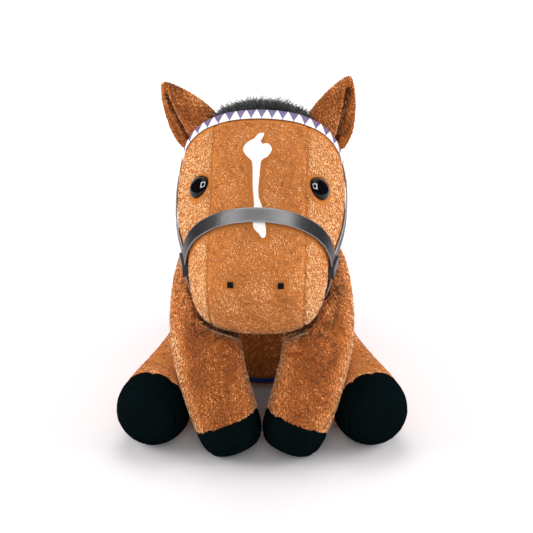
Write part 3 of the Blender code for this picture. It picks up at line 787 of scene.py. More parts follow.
# %% Blades of pile
BLADE_POINTS, BLADE_CORNERS = 5, 7
BLADE_MAP = ((0.2, 0.1), (0.8, 0.1), (0.75, 0.5), (0.25, 0.5), (0.25, 0.5), (0.75, 0.5), (0.5, 0.9))
SOFT_SHARE = 0.85
ROOT_DEPTH = 0.25 * MM
TRIM_CLEARANCE, TRIM_REACH = 0.55 * MM, 4 * MM
TRIM_PRESSED, TRIM_GROWN, TRIM_COMBED = 1.0 * MM, 3.0 * MM, 3.4 * MM
SEAM_BARE, SEAM_DARK, SEAM_SHORT = 0.08 * MM, 0.85 * MM, 0.8 * MM
COMBED_OFF_TRIM, COMBED_OFF_SEAM = 1.6, 0.7
# On a seam a blade keeps SHADED_AT_SEAM of its tip colour, as painted shade along the seam.
SHORT_AT_TRIM, SHORT_AT_SEAM, SHADED_AT_SEAM = 0.45, 0.7, 0.1
SLOPE_STEP = 0.1 * MM
# How much clumps and chance turn a blade, tilt it, and change its length.
CLUMP_TURN, TWIST, TILT_WAVE, TILT_SPREAD = 0.35, 0.35, 0.15, 0.12
LENGTH_WAVE, LENGTH_RANGE, WISP_LENGTH = 0.12, (0.8, 1.15), 1.8
# A blade bends and droops where its lower part ends, and is narrower there.
LOWER_PART, DROOP, NARROWED = 0.55, 0.35, 0.8
HEIGHTS_ON_BLADE = (0.0, 0.0, 0.6, 0.6, 1.0)
# Each mottle: how strong it is, how wide its lumps are, and its seed.
MOTTLE = ((0.17, 8 * MM, 14), (0.08, 2.4 * MM, 15), (0.36, 0.5 * MM, 16))
MOTTLE_STRENGTHS = (1.1, 0.45)


def blade_mesh(name, points):
    """Blades of five points each: a quad at the root and a triangle to the tip."""
    count = len(points) // BLADE_POINTS
    base = np.arange(count)[:, None] * BLADE_POINTS
    mesh = bpy.data.meshes.new(name)
    mesh.vertices.add(count * BLADE_POINTS)
    mesh.loops.add(count * BLADE_CORNERS)
    mesh.polygons.add(count * 2)
    mesh.vertices.foreach_set("co", points.ravel())
    mesh.loops.foreach_set("vertex_index", (base + [0, 1, 2, 3, 3, 2, 4]).ravel())
    starts = (np.arange(count)[:, None] * BLADE_CORNERS + [0, 4]).ravel()
    mesh.polygons.foreach_set("loop_start", starts)
    mesh.polygons.foreach_set("use_smooth", np.full(count * 2, True))
    mesh.update()
    across = int(math.ceil(math.sqrt(count)))
    cell = np.stack([np.arange(count) % across, np.arange(count) // across], axis=1)[:, None, :]
    uv = (cell + np.array(BLADE_MAP)[None]) / across
    mesh.uv_layers.new(name="OFBake").data.foreach_set("uv", uv.ravel())
    return mesh


def pile(name, piece, per_mm2, length, width, nap, lean, trims=(), keep=everywhere,
         clump=1.1 * MM, stray=0.35, seam=None, pale=nowhere, wisps=0.0, tall=nowhere):
    """Blades of pile on a skin.

    nap gives the way that it is brushed at each point, seam how far points lie from a seam, near
    which the pile is painted in shade, pale how pale the pile is painted there, from 0 to 1, as
    painted light and shade, and tall what share longer it is.
    """
    roots, normals = scatter(piece, per_mm2, keep)
    size = length * (1 + tall(roots, normals))
    away = np.zeros_like(roots)
    if trims:
        tree = tree_of(*trims)
        hits = [tree.find_nearest(Vector(root), TRIM_REACH) for root in roots]
        near = np.array([TRIM_REACH if hit[3] is None else hit[3] for hit in hits])
        spot = np.array([root if hit[0] is None else hit[0] for root, hit in zip(roots, hits)])
        combed = 1 - smoothstep(TRIM_PRESSED, TRIM_COMBED, near)
        away = unit(roots - spot) * combed[:, None] * COMBED_OFF_TRIM
        grown = smoothstep(TRIM_PRESSED, TRIM_GROWN, near)
        size = size * (SHORT_AT_TRIM + (1 - SHORT_AT_TRIM) * grown)
        clear = near > TRIM_CLEARANCE
        roots, normals, size, away = (field[clear] for field in (roots, normals, size, away))
    if seam:
        off = seam(roots)
        clear = off > SEAM_BARE
        roots, normals, size, away, off = (field[clear] for field in
                                           (roots, normals, size, away, off))
        grown = smoothstep(SEAM_BARE, SEAM_SHORT, off)
        size = size * (SHORT_AT_SEAM + (1 - SHORT_AT_SEAM) * grown)
        slope = np.stack([seam(roots + step) - off for step in np.eye(3) * SLOPE_STEP], axis=1)
        away = away + unit(slope) * (1 - grown)[:, None] * COMBED_OFF_SEAM
    count = len(roots)
    clumps = np.stack([waves(roots, clump, seed) for seed in (11, 12, 13)], axis=1)
    aim = nap(roots) + clumps * CLUMP_TURN + rng.normal(size=(count, 3)) * stray + away
    aim = unit(aim - normals * np.sum(aim * normals, axis=1, keepdims=True))
    tilt = lean * (1 + TILT_WAVE * waves(roots, clump * 1.7, 21))
    tilt = tilt + rng.normal(size=count) * TILT_SPREAD
    direction = normals * np.cos(tilt)[:, None] + aim * np.sin(tilt)[:, None]
    droop = unit(direction + aim * DROOP)
    size = size * (1 + LENGTH_WAVE * waves(roots, clump, 22)) * rng.uniform(*LENGTH_RANGE, count)
    size = size * np.where(rng.uniform(size=count) < wisps, WISP_LENGTH, 1.0)
    side = unit(np.cross(direction, normals) + rng.normal(size=(count, 3)) * TWIST)
    side = unit(side - direction * np.sum(side * direction, axis=1, keepdims=True))
    half = side * (width / 2)
    start = roots - normals * ROOT_DEPTH
    middle = start + direction * (size * LOWER_PART)[:, None]
    tip = middle + droop * (size * (1 - LOWER_PART))[:, None]
    points = np.stack([start - half, start + half, middle + half * NARROWED,
                       middle - half * NARROWED, tip], axis=1).reshape(-1, 3)
    points[:, 2] = np.maximum(points[:, 2], FLOOR_CLEARANCE)
    mesh = blade_mesh(name, points)
    tone = np.zeros((count, BLADE_POINTS, 4))
    tone[:, :, 0] = HEIGHTS_ON_BLADE
    tone[:, :, 1] = rng.uniform(size=count)[:, None]
    mottle = sum(share * waves(roots, lump, seed) for share, lump, seed in MOTTLE)
    # level is painted light and shade: how pale each blade is painted, with a random mottle on top.
    level = pale(roots, normals)
    level = level + mottle * np.interp(level, (0.1, 0.9), MOTTLE_STRENGTHS)
    # Near a seam each blade takes its root colour and the deep tone: painted shade along the seam.
    if seam:
        thread = smoothstep(SEAM_BARE, SEAM_DARK, off)
        tone[:, :, 0] *= (SHADED_AT_SEAM + (1 - SHADED_AT_SEAM) * thread)[:, None]
        level = level * thread
    tone[:, :, 3] = np.clip(level, 0, 1)[:, None]
    colours = mesh.color_attributes.new(name="pile_tone", type="FLOAT_COLOR", domain="POINT")
    colours.data.foreach_set("color", tone.ravel())
    flat = np.repeat(unit(np.cross(side, direction)), BLADE_POINTS, axis=0)
    soft = np.repeat(normals, BLADE_POINTS, axis=0) * SOFT_SHARE + flat * (1 - SOFT_SHARE)
    mesh.normals_split_custom_set_from_vertices(unit(soft).tolist())
    print(name, "has", count, "blades")
    return linked(name, mesh)


# %% [markdown]
# Straps laid on the head
#
# A strap is a flat band, so it starts as a flat grid, which brings its own UV map: U runs along
# the strap and V across it. Each row of the grid is then laid on the skin by rays that leave the
# inside of the head in the strap's own plane. Solidify gives it its real thickness, and a small
# bevel rounds the cut edges.

# %% Laying a band
STRAP_WIDTH, STRAP_THICKNESS, STRAP_RISE = 6.5 * MM, 0.8 * MM, 0.5 * MM
RIBBON_THICKNESS = 0.5 * MM
BAND_ROWS, BAND_SMOOTHINGS, WORN_SHARE = 5, 3, 0.35
RAY_STEP = 0.05 * MM
skin_tree = tree_of(head_skin)


def hit_skin(start, aim, place=head_place, tree=skin_tree):
    """Where a ray in a body's own directions leaves its skin, and the skin's normal."""
    origin = place @ Vector(start)
    direction = (place.to_3x3() @ Vector(aim)).normalized()
    best = None
    point, normal, _, _ = tree.ray_cast(origin, direction)
    while point is not None:
        best = (point, normal)
        point, normal, _, _ = tree.ray_cast(point + direction * RAY_STEP, direction)
    return best


def lay_band(name, rays, width, height, thickness, closed=False, lift=0.0, **body):
    """A strap from a list of (start, aim, across): rays of its middle line and its width's way.

    lift is how much higher its far edge stands over the skin than its near edge.
    """
    columns = len(rays)
    bpy.ops.mesh.primitive_grid_add(x_subdivisions=columns - 1, y_subdivisions=BAND_ROWS - 1,
                                    size=1, location=(0, 0, 0))
    band = bpy.context.object
    band.name = band.data.name = name
    points = points_of(band.data)
    flat = points.copy()
    for column, (start, aim, across) in enumerate(rays):
        x = -0.5 + column / (columns - 1)
        row = np.flatnonzero(np.abs(flat[:, 0] - x) < 0.2 / columns)
        laid = []
        for index in row:
            offset = Vector(across) * width * flat[index, 1]
            point, normal = hit_skin(Vector(start) + offset, aim, **body)
            laid.append((index, point, normal))
        mean = sum((normal for _, _, normal in laid), Vector()).normalized()
        for index, point, _ in laid:
            raised = lift * math.sin(math.pi * column / (columns - 1)) * (flat[index, 1] + 0.5)
            points[index] = point + mean * (height + raised)
    by_row = [np.flatnonzero(np.abs(flat[:, 1] - y) < 0.05)
              for y in np.linspace(-0.5, 0.5, BAND_ROWS)]
    by_row = [row[np.argsort(flat[row, 0])] for row in by_row]
    for _ in range(BAND_SMOOTHINGS):
        for row in by_row:
            line = points[row]
            ends = (line[-2], line[1]) if closed else (line[0], line[-1])
            before = np.vstack([ends[0], line[:-1]])
            after = np.vstack([line[1:], ends[1]])
            smooth = line * 0.5 + (before + after) * 0.25
            if closed:
                smooth[0] = smooth[-1] = (line[0] * 0.5 + (line[1] + line[-2]) * 0.25)
            else:
                smooth[0], smooth[-1] = line[0], line[-1]
            points[row] = smooth
    set_points(band.data, points)
    only(band)
    if closed:
        with editing():
            bpy.ops.mesh.remove_doubles(threshold=MERGE)
    elif band.data.polygons[len(band.data.polygons) // 2].normal.dot(mean) < 0:
        band.data.flip_normals()
    apply(band, "SOLIDIFY", "thickness", thickness=thickness, offset=1.0)
    apply(band, "BEVEL", "worn_edge", width=thickness * WORN_SHARE, segments=2,
          limit_method="ANGLE")
    bpy.ops.object.shade_smooth_by_angle(angle=math.radians(40))
    length = sum((Vector(points[b]) - Vector(points[a])).length
                 for a, b in zip(row[:-1], row[1:]))
    print(name, "is", round(length / MM, 1), "mm long")
    return band, length


def ring_rays(centre, tilt, first, last, count):
    """Rays round the head in a plane tilted about X, from one turn to another off the top."""
    up = Matrix.Rotation(tilt, 3, "X") @ Vector((0, 0, 1))
    across = Matrix.Rotation(tilt, 3, "X") @ Vector((0, 1, 0))
    turns = [first + (last - first) * i / (count - 1) for i in range(count)]
    return [(centre, Vector((math.sin(turn), 0, 0)) + up * math.cos(turn), across)
            for turn in turns]


# %% [markdown]
# The browband
#
# The browband is a printed ribbon across the forehead, in front of the ears. Its pattern is the
# traditional row of triangles: purple ones hang from the upper edge and white ones stand on the
# lower edge.

# %% Browband
BROW_TOP = Vector((0, 20, 38)) * MM
BROW_TILT = math.radians(-18)
BROW_WIDTH = 6.5 * MM
BROW_REACH, BROW_TURN, BROW_COLUMNS = 34 * MM, 91, 65
BROW_RISE, BROW_BACK_LIFT = 1.0 * MM, 1.8 * MM
TRIANGLE_PITCH = 5.9 * MM
brow_axis = Matrix.Rotation(BROW_TILT, 3, "X") @ Vector((0, 0, 1))
brow_rays = ring_rays(BROW_TOP - brow_axis * BROW_REACH, BROW_TILT, math.radians(-BROW_TURN),
                      math.radians(BROW_TURN), BROW_COLUMNS)
browband, brow_length = lay_band("browband_ribbon", brow_rays, BROW_WIDTH, height=BROW_RISE,
                                 thickness=RIBBON_THICKNESS, lift=BROW_BACK_LIFT)

# %% Noseband
NOSE_TOP = Vector((0, -37.5, 31)) * MM
NOSE_TILT, NOSE_REACH = math.radians(-14), 31 * MM
NOSE_RISE, NOSE_COLUMNS = 1.3 * MM, 97
nose_axis = Matrix.Rotation(NOSE_TILT, 3, "X") @ Vector((0, 0, 1))
nose_rays = ring_rays(NOSE_TOP - nose_axis * NOSE_REACH, NOSE_TILT, -math.pi, math.pi,
                      NOSE_COLUMNS)
noseband, _ = lay_band("noseband_strap", nose_rays, STRAP_WIDTH, height=NOSE_RISE,
                       thickness=STRAP_THICKNESS, closed=True)

# %% Headpiece
POLL_SIDE = Vector((0, 15, -2)) * MM
POLL_TILT = math.radians(-45)
POLL_TURN, POLL_COLUMNS = 99, 49
poll_rays = ring_rays(POLL_SIDE, POLL_TILT, math.radians(-POLL_TURN), math.radians(POLL_TURN),
                      POLL_COLUMNS)
headpiece, _ = lay_band("headpiece_strap", poll_rays, STRAP_WIDTH, height=STRAP_RISE,
                        thickness=STRAP_THICKNESS)

# %% Cheek straps
CHEEK_START, CHEEK_END = Vector((0, 16, 3)) * MM, Vector((0, -41, 1)) * MM
CHEEK_COLUMNS = 25
cheek_straps = {}
for side, sign in SIGNS.items():
    run = CHEEK_END - CHEEK_START
    rays = [(CHEEK_START + run * (i / (CHEEK_COLUMNS - 1)), Vector((sign, 0, 0)),
             Vector((0, 0, 1))) for i in range(CHEEK_COLUMNS)]
    cheek_straps[side], _ = lay_band(f"cheek_{side}_strap", rays, STRAP_WIDTH, height=STRAP_RISE,
                                     thickness=STRAP_THICKNESS)

# %% Girth ribbon
GIRTH_WIDTH = 5 * MM
GIRTH_TILT = math.radians(20)
GIRTH_FRONT = Vector((0, -32.4, 9.9)) * MM
GIRTH_REACH, GIRTH_RISE, GIRTH_COLUMNS = 45 * MM, 0.6 * MM, 121
girth_up = Matrix.Rotation(GIRTH_TILT, 3, "X") @ Vector((0, 0, 1))
girth_back = Matrix.Rotation(GIRTH_TILT, 3, "X") @ Vector((0, 1, 0))
girth_middle = GIRTH_FRONT + girth_back * GIRTH_REACH
girth_turns = [math.pi * (2 * i / (GIRTH_COLUMNS - 1) - 1) for i in range(GIRTH_COLUMNS)]
girth_rays = [(girth_middle, Vector((math.sin(turn), 0, 0)) - girth_back * math.cos(turn), girth_up)
              for turn in girth_turns]
girth, _ = lay_band("girth_ribbon", girth_rays, GIRTH_WIDTH, height=GIRTH_RISE,
                    thickness=RIBBON_THICKNESS, closed=True, place=Matrix.Identity(4),
                    tree=tree_of(torso_skin))

# %% [markdown]
# Safety eyes
#
# A safety eye is one moulded piece: a glossy dome with a thin edge, on a shank that a washer
# locks behind the plush. A sphere is flattened, its lower half is cut away, and the open rim is
# extruded down into the edge and then into the shank.

# %% Eyes
EYE_RADIUS = 6 * MM
EYE_FLANGE = 1.2 * MM
SHANK_RADIUS, SHANK_LENGTH = 1.5 * MM, 9 * MM


def new_eye(name):
    """A safety eye at the origin that looks along +Z."""
    bpy.ops.mesh.primitive_uv_sphere_add(segments=48, ring_count=24, radius=EYE_RADIUS)
    eye = bpy.context.object
    eye.name = eye.data.name = name
    with editing():
        bpy.ops.transform.resize(value=(1, 1, EYE_RISE / EYE_RADIUS))
        bpy.ops.mesh.bisect(plane_co=(0, 0, 0), plane_no=(0, 0, 1), clear_inner=True)
        bpy.ops.mesh.select_all(action="DESELECT")
        bpy.ops.mesh.select_mode(type="EDGE")
        bpy.ops.mesh.select_non_manifold()
        bpy.ops.mesh.extrude_region_move(TRANSFORM_OT_translate={"value": (0, 0, -EYE_FLANGE)})
        bpy.ops.mesh.extrude_region_move()
        bpy.ops.transform.resize(value=(SHANK_RADIUS / EYE_RADIUS, SHANK_RADIUS / EYE_RADIUS, 1))
        bpy.ops.mesh.extrude_region_move(
            TRANSFORM_OT_translate={"value": (0, 0, EYE_FLANGE - SHANK_LENGTH)})
        bpy.ops.mesh.edge_face_add()
        bpy.ops.mesh.select_all(action="SELECT")
        bpy.ops.mesh.normals_make_consistent(inside=False)
    bpy.ops.object.shade_smooth_by_angle(angle=math.radians(35))
    return eye


def facing(point, normal, along=Vector((0, -1, 0))):
    """A place with +Z along a normal and +X as nearly along a way as that lets it."""
    normal = Vector(normal).normalized()
    side = (Vector(along) - normal * normal.dot(Vector(along))).normalized()
    return Matrix.Translation(point) @ Matrix(
        (side, normal.cross(side), normal)).transposed().to_4x4()


eyes = {}
for side in SIGNS:
    middle, aim = eye_seat(side)
    eyes[side] = new_eye(f"eye_{side}_dome")
    eyes[side].data.transform(head_place @ facing(middle, aim))
    print("eye", side, "has", len(eyes[side].data.vertices), "points")

# %% [markdown]
# The blaze and the nostrils
#
# The star, stripe and snip are one patch of white satin stitch. Its outline is filled, cut into
# small faces and laid on the skin, and then gets the thickness of its thread. Each nostril is a
# small square of black thread bars, each bar a cube rounded into a bead.

# %% Blaze
BLAZE_START, BLAZE_LENGTH, BLAZE_WIDTH = 7.5 * MM, 55 * MM, 14 * MM
BLAZE_OUTLINE_SHARES = (
    (0.06, 0.03), (0.14, 0.03), (0.08, 0.08), (0.01, 0.125), (0.09, 0.16), (0.2, 0.145),
    (0.29, 0.15), (0.38, 0.175), (0.42, 0.21), (0.36, 0.25), (0.26, 0.285), (0.12, 0.305),
    (0.06, 0.33), (0.04, 0.39), (0.01, 0.53), (0.0, 0.6), (0.02, 0.655), (0.09, 0.7),
    (0.14, 0.73), (0.19, 0.81), (0.26, 0.88), (0.3, 0.95), (0.3, 0.995), (0.22, 1.015),
    (0.15, 1.01), (0.07, 0.975), (-0.07, 0.945), (-0.13, 0.915), (-0.15, 0.865),
    (-0.12, 0.74), (-0.15, 0.645), (-0.19, 0.565), (-0.2, 0.46), (-0.23, 0.33),
    (-0.35, 0.3), (-0.49, 0.26), (-0.56, 0.225), (-0.56, 0.19), (-0.48, 0.15), (-0.35, 0.12),
    (-0.2, 0.1), (-0.12, 0.06), (-0.04, 0.035),
)
# Thread rounds every corner of the outline, so each is cut at this share of its sides.
CORNER_CUT = 0.22
BLAZE_CELL, BLAZE_CELL_STRETCH = 0.7 * MM, 1.3
BLAZE_RISE, BLAZE_CROWN, BLAZE_EDGE = 0.9 * MM, 0.25 * MM, 1.2 * MM

corners = np.array([(BLAZE_WIDTH * a, BLAZE_START - BLAZE_LENGTH * b)
                    for a, b in BLAZE_OUTLINE_SHARES])
after = np.roll(corners, -1, axis=0)
blaze_outline = np.stack([corners * (1 - CORNER_CUT) + after * CORNER_CUT,
                          corners * CORNER_CUT + after * (1 - CORNER_CUT)], axis=1).reshape(-1, 2)
bpy.ops.mesh.primitive_circle_add(vertices=len(blaze_outline), radius=BLAZE_WIDTH, fill_type="NGON")
blaze = bpy.context.object
blaze.name = blaze.data.name = "blaze_stitching"
set_points(blaze.data, np.column_stack([blaze_outline, np.zeros(len(blaze_outline))]))
cuts = [((0, BLAZE_START + BLAZE_CELL / 2 - step * BLAZE_CELL, 0), (0, 1, 0))
        for step in range(int(BLAZE_LENGTH / BLAZE_CELL) + 2)]
cuts += [((step * BLAZE_CELL * BLAZE_CELL_STRETCH, 0, 0), (1, 0, 0)) for step in range(-8, 9)]
with editing():
    for point, direction in cuts:
        bpy.ops.mesh.select_all(action="SELECT")
        bpy.ops.mesh.bisect(plane_co=point, plane_no=direction)
    bpy.ops.mesh.select_all(action="SELECT")
    bpy.ops.mesh.remove_doubles(threshold=MERGE)
flat_blaze = points_of(blaze.data)
edge_of_blaze = np.array([min(np.hypot(*(blaze_outline - p[:2]).T)) for p in flat_blaze])
laid = []
for (x, y, _), from_edge in zip(flat_blaze, edge_of_blaze):
    point, normal = hit_skin((x, y, 0), (0, 0, 1))
    crown = BLAZE_CROWN * min(1, from_edge / BLAZE_EDGE)
    laid.append(point + normal * (BLAZE_RISE + crown))
set_points(blaze.data, np.array([tuple(p) for p in laid]))
only(blaze)
with editing():
    bpy.ops.mesh.normals_make_consistent(inside=False)
if sum((p.normal for p in blaze.data.polygons), Vector()).dot(
        head_place.to_3x3() @ Vector((0, 0, 1))) < 0:
    blaze.data.flip_normals()
apply(blaze, "SOLIDIFY", "thread", thickness=BLAZE_RISE, offset=-1.0)
bpy.ops.object.shade_smooth_by_angle(angle=math.radians(50))
print("blaze has", len(blaze.data.polygons), "faces")

# %% Nostrils
NOSTRIL_ACROSS, NOSTRIL_FORWARD, NOSTRIL_SIZE = 11.7 * MM, 58 * MM, 2.8 * MM
NOSTRIL_ANGLE = math.radians(62)
THREAD_BARS, THREAD_HEIGHT, THREAD_RISE = 5, 0.7 * MM, 0.75 * MM
THREAD_OVERLAP, THREAD_OVERHANG = 1.15, 1.08


def thread_patch(name, place):
    """Bars of thread side by side, each a cube rounded into a long bead."""
    pitch = NOSTRIL_SIZE / THREAD_BARS
    width, length = pitch * THREAD_OVERLAP, NOSTRIL_SIZE * THREAD_OVERHANG
    bars = []
    for bar in range(THREAD_BARS):
        middle = (bar - (THREAD_BARS - 1) / 2) * pitch
        bpy.ops.mesh.primitive_cube_add(size=1, location=(middle, 0, 0))
        thread = bpy.context.object
        thread.scale = (width, length, THREAD_HEIGHT)
        bpy.ops.object.transform_apply(location=True, rotation=True, scale=True)
        with editing():
            bpy.ops.mesh.subdivide(number_cuts=3, smoothness=0)
        points = points_of(thread.data)
        end = np.clip(np.abs(points[:, 1]) / (length / 2), 0, 1)
        points[:, 2] *= np.sqrt(np.maximum(1 - end ** 4, 0.05))
        across = (points[:, 0] - middle) / (width / 2)
        points[:, 2] *= np.sqrt(np.maximum(1 - across ** 2 * 0.8, 0.05))
        set_points(thread.data, points)
        apply(thread, "SUBSURF", "round_bar", levels=1, render_levels=1)
        bars.append(thread)
    bpy.ops.object.select_all(action="DESELECT")
    for thread in bars:
        thread.select_set(True)
    bpy.context.view_layer.objects.active = bars[0]
    bpy.ops.object.join()
    patch = bpy.context.object
    patch.name = patch.data.name = name
    bpy.ops.object.transform_apply(location=True, rotation=True, scale=True)
    patch.data.transform(place)
    bpy.ops.object.shade_smooth()
    return patch


nostrils = {}
for side, sign in SIGNS.items():
    point, normal = hit_skin((sign * NOSTRIL_ACROSS, -NOSTRIL_FORWARD, 0),
                             (0, -math.cos(NOSTRIL_ANGLE), math.sin(NOSTRIL_ANGLE)))
    nostrils[side] = thread_patch(f"nostril_{side}_stitches",
                                  facing(point + normal * THREAD_RISE, normal,
                                         head_place.to_3x3() @ Vector((1, 0, 0))))
print("nostril stitches:", len(nostrils["left"].data.polygons), "faces each")

# %% [markdown]
# Mane and tail
#
# The mane and the tail are strips of long black pile, sewn on over a little stuffing. Each gets
# a skin as the other soft pieces do, and longer strands that clump into locks. The strands are
# the same blades as the short pile, only longer, so both bake and export alike.

# %% Mane and tail skins
mane_skin = skin("mane_skin", ["mane"], voxel=1.4 * MM, cap=0.8 * MM, smooth=3)
tail_skin = skin("tail_skin", ["tail"], voxel=1.6 * MM, cap=0.8 * MM, smooth=3)
MANE_STRAND, TAIL_STRAND, TAIL_BARE = 5 * MM, 8 * MM, 1.5 * MM
MANE_THIN, MANE_TAPER = 1.2 * MM, 2.6 * MM
MANE_PARTING, MANE_BACK = 20 * MM, 0.35
points = in_head(points_of(mane_skin.data))
inward = MANE_THIN + MANE_TAPER * smoothstep(6 * MM, 22 * MM, np.abs(points[:, 0]))
inward = inward * (points[:, 2] > 0)
set_points(mane_skin.data, from_head(points - unit(points * [0, 1, 1]) * inward[:, None]))


def mane_nap(roots):
    """Brushed back over the poll, and out to both sides."""
    local = in_head(roots)
    count = len(roots)
    way = np.column_stack([local[:, 0] / MANE_PARTING, np.full(count, MANE_BACK), np.zeros(count)])
    return way @ np.array(head_place)[:3, :3].T


def outside_head(middle, aim):
    """Faces of the mane that look away from the skull."""
    local = in_head(middle)
    return np.sum((in_head(middle + aim) - local) * unit(local), axis=1) > 0.1


mane_hair = pile("mane_strands", mane_skin, per_mm2=4.5, length=MANE_STRAND, width=0.26 * MM,
                 nap=mane_nap, lean=0.8, trims=(browband, headpiece), keep=outside_head,
                 clump=2.6 * MM, stray=1.0, wisps=0.12)
tail_hair = pile("tail_strands", tail_skin, per_mm2=3.0, length=TAIL_STRAND, width=0.3 * MM,
                 nap=steady((0.0, 0.75, -0.65)), lean=1.15,
                 keep=lambda middle, aim: middle[:, 2] > TAIL_BARE, clump=3 * MM, stray=0.2)

# %% [markdown]
# Plush
#
# Plush is a knitted polyester backing with cut pile. The fibres' roots lie in each other's shade,
# so plush looks deep in colour from above and pale at its edges, where only the tips show. Here
# that shade is also painted: each blade's root colour is darker than its tip. The pile_tone
# attribute holds the place along a blade in red, a random number for each blade in green, and in
# alpha how pale the pile is painted there, as painted light and shade with a random mottle.

# %% Pile
SPARK_SHARE = 0.3


def ramp(tree, factor, colours):
    """Colours at even steps of a factor."""
    made = add(tree, "ShaderNodeValToRGB", {}, {"Fac": factor})
    stops = made.color_ramp.elements
    for step in range(1, len(colours) - 1):
        stops.new(step / (len(colours) - 1))
    for stop, colour in zip(stops, colours):
        stop.color = linear(colour)
    return made.outputs[0]


def plush_pile(name, roots, tips, spark, sheen, roughness=0.9, gloss=0.1):
    """Cut pile: colours of the blades' roots, darker as painted shade, and of their tips,
    each running from deep to pale along the painted light and shade in pile_tone's alpha.

    A few blades end in the spark colour.
    """
    made, tree, shader = new_material(name, roughness, Sheen_Weight=sheen, Sheen_Roughness=0.45,
                                      Sheen_Tint=linear(spark), Specular_IOR_Level=gloss)
    tone = add(tree, "ShaderNodeAttribute", {"attribute_name": "pile_tone"}, {})
    parts = add(tree, "ShaderNodeSeparateColor", {}, {"Color": tone.outputs["Color"]}).outputs
    height = remap(tree, parts["Red"], 0.0, 0.6, interpolation_type="SMOOTHSTEP")
    nap = tone.outputs["Alpha"]
    shade = mixed(tree, height, ramp(tree, nap, roots), ramp(tree, nap, tips))
    lucky = calculate(tree, "MULTIPLY", parts["Green"], parts["Red"])
    feed(shader, Base_Color=mixed(tree, remap(tree, lucky, 0.45, high=SPARK_SHARE), shade, spark))
    return made


# The colour of the painted shade deep in an ear's fold.
FOLD_PAINTED_SHADE = "#331708"


def plush_backing(name, dark, light, scale_mm):
    """The knitted cloth under the pile, mottled with the painted shade of the blades over it.

    The in_fold attribute of an ear's skin holds how deep in its fold the cloth lies; there the cloth
    is painted with the fold's shade.
    """
    made, tree, shader = new_material(name, 0.95, Specular_IOR_Level=0.0)
    mottle = noise(tree, 1 / (scale_mm * MM), 3.0)
    fold = add(tree, "ShaderNodeAttribute", {"attribute_name": "in_fold"}, {})
    feed(shader, Normal=bumps(tree, 0.4, 0.3 * MM, mottle),
         Base_Color=mixed(tree, remap(tree, fold.outputs["Fac"], 0.2, 0.7, high=0.8),
                          mixed(tree, mottle, dark, light), FOLD_PAINTED_SHADE))
    return made


# Each colour list runs from deep to pale along the painted light and shade; the darker roots are painted shade
# among the fibres.
brown_pile = plush_pile("brown_cut_pile", ("#351304", "#ad6026", "#f8bd80"),
                        ("#4c210a", "#ec9149", "#ffd9a4"), "#ffd8ae", 1.0)
# Two copies of one backing, painted light and shade: the shaded one under the forelegs', torso's and ears' pile,
# the lit one under the head's and hind legs'.
shaded_brown_backing = plush_backing("brown_knitted_backing", "#7c3d17", "#a55d2c", 1.2)
lit_brown_backing = plush_backing("brown_knitted_backing_lit_copy", "#9a5424", "#c67f42", 1.2)
black_pile = plush_pile("black_cut_pile", ("#050b0e", "#070f12"), ("#0a181c", "#0d1e23"),
                        "#14262c", 0.0, 1.0, 0.0)
black_backing = plush_backing("black_knitted_backing", "#040809", "#091214", 1.0)
long_pile = plush_pile("black_long_pile_strands", ("#141415", "#202021"), ("#383838", "#565656"),
                       "#8a8a8a", 0.2, 0.5)
long_backing = plush_backing("black_long_pile_backing", "#0a0a0b", "#161617", 1.5)

# %% [markdown]
# Hard and sewn finishes
#
# The eyes are moulded black acrylic with a mirror polish. The straps are cut from polyurethane
# leatherette: a fine pressed grain, a soft sheen, and a painted pale highlight along the edges of
# the laid straps. The browband is a printed satin ribbon, and the girth is a plain navy ribbon
# with a ribbed weave across it. The blaze is satin stitch, threads laid side by side across the
# patch.

# %% Eye and washer plastic
eye_plastic, tree, shader = new_material("black_moulded_acrylic", 0.045, Specular_IOR_Level=0.25)
smear = noise(tree, 260.0)
feed(shader, Base_Color=mixed(tree, smear, "#050506", "#0c0d10"),
     Roughness=remap(tree, smear, low=0.03, high=0.07))

washer_plastic, tree, shader = new_material("white_moulded_polyethylene", 0.4)
feed(shader, Base_Color=mixed(tree, noise(tree, 400.0), "#dedcd6", "#ecebe6"))

# %% Strap leatherette
GRAIN_MM = 0.35


def leatherette(name, edged):
    """Pressed polyurethane with a pebbled grain. A laid strap's cut edges carry a painted pale highlight."""
    made, tree, shader = new_material(name, 0.4, Specular_IOR_Level=0.34)
    grain = add(tree, "ShaderNodeTexVoronoi", {"feature": "F1"},
                {"Vector": place_on(tree), "Scale": 1 / (GRAIN_MM * MM)})
    wear = noise(tree, 180.0, 4.0)
    colour = mixed(tree, wear, "#161517", "#29272a")
    if edged:
        # A painted highlight: the colour turns pale grey along both edges of a laid strap.
        across = calculate(tree, "PINGPONG", read_map(tree)[1], 0.5)
        colour = mixed(tree, remap(tree, across, 0.02, 0.055, 0.8, 0.0), colour, "#8c898b")
    feed(shader, Base_Color=colour, Roughness=remap(tree, wear, low=0.32, high=0.45),
         Normal=bumps(tree, 0.25, 0.08 * MM, grain.outputs["Distance"]))
    return made


strap_leather = leatherette("black_leatherette_strap", True)
loop_leather = leatherette("black_leatherette", False)

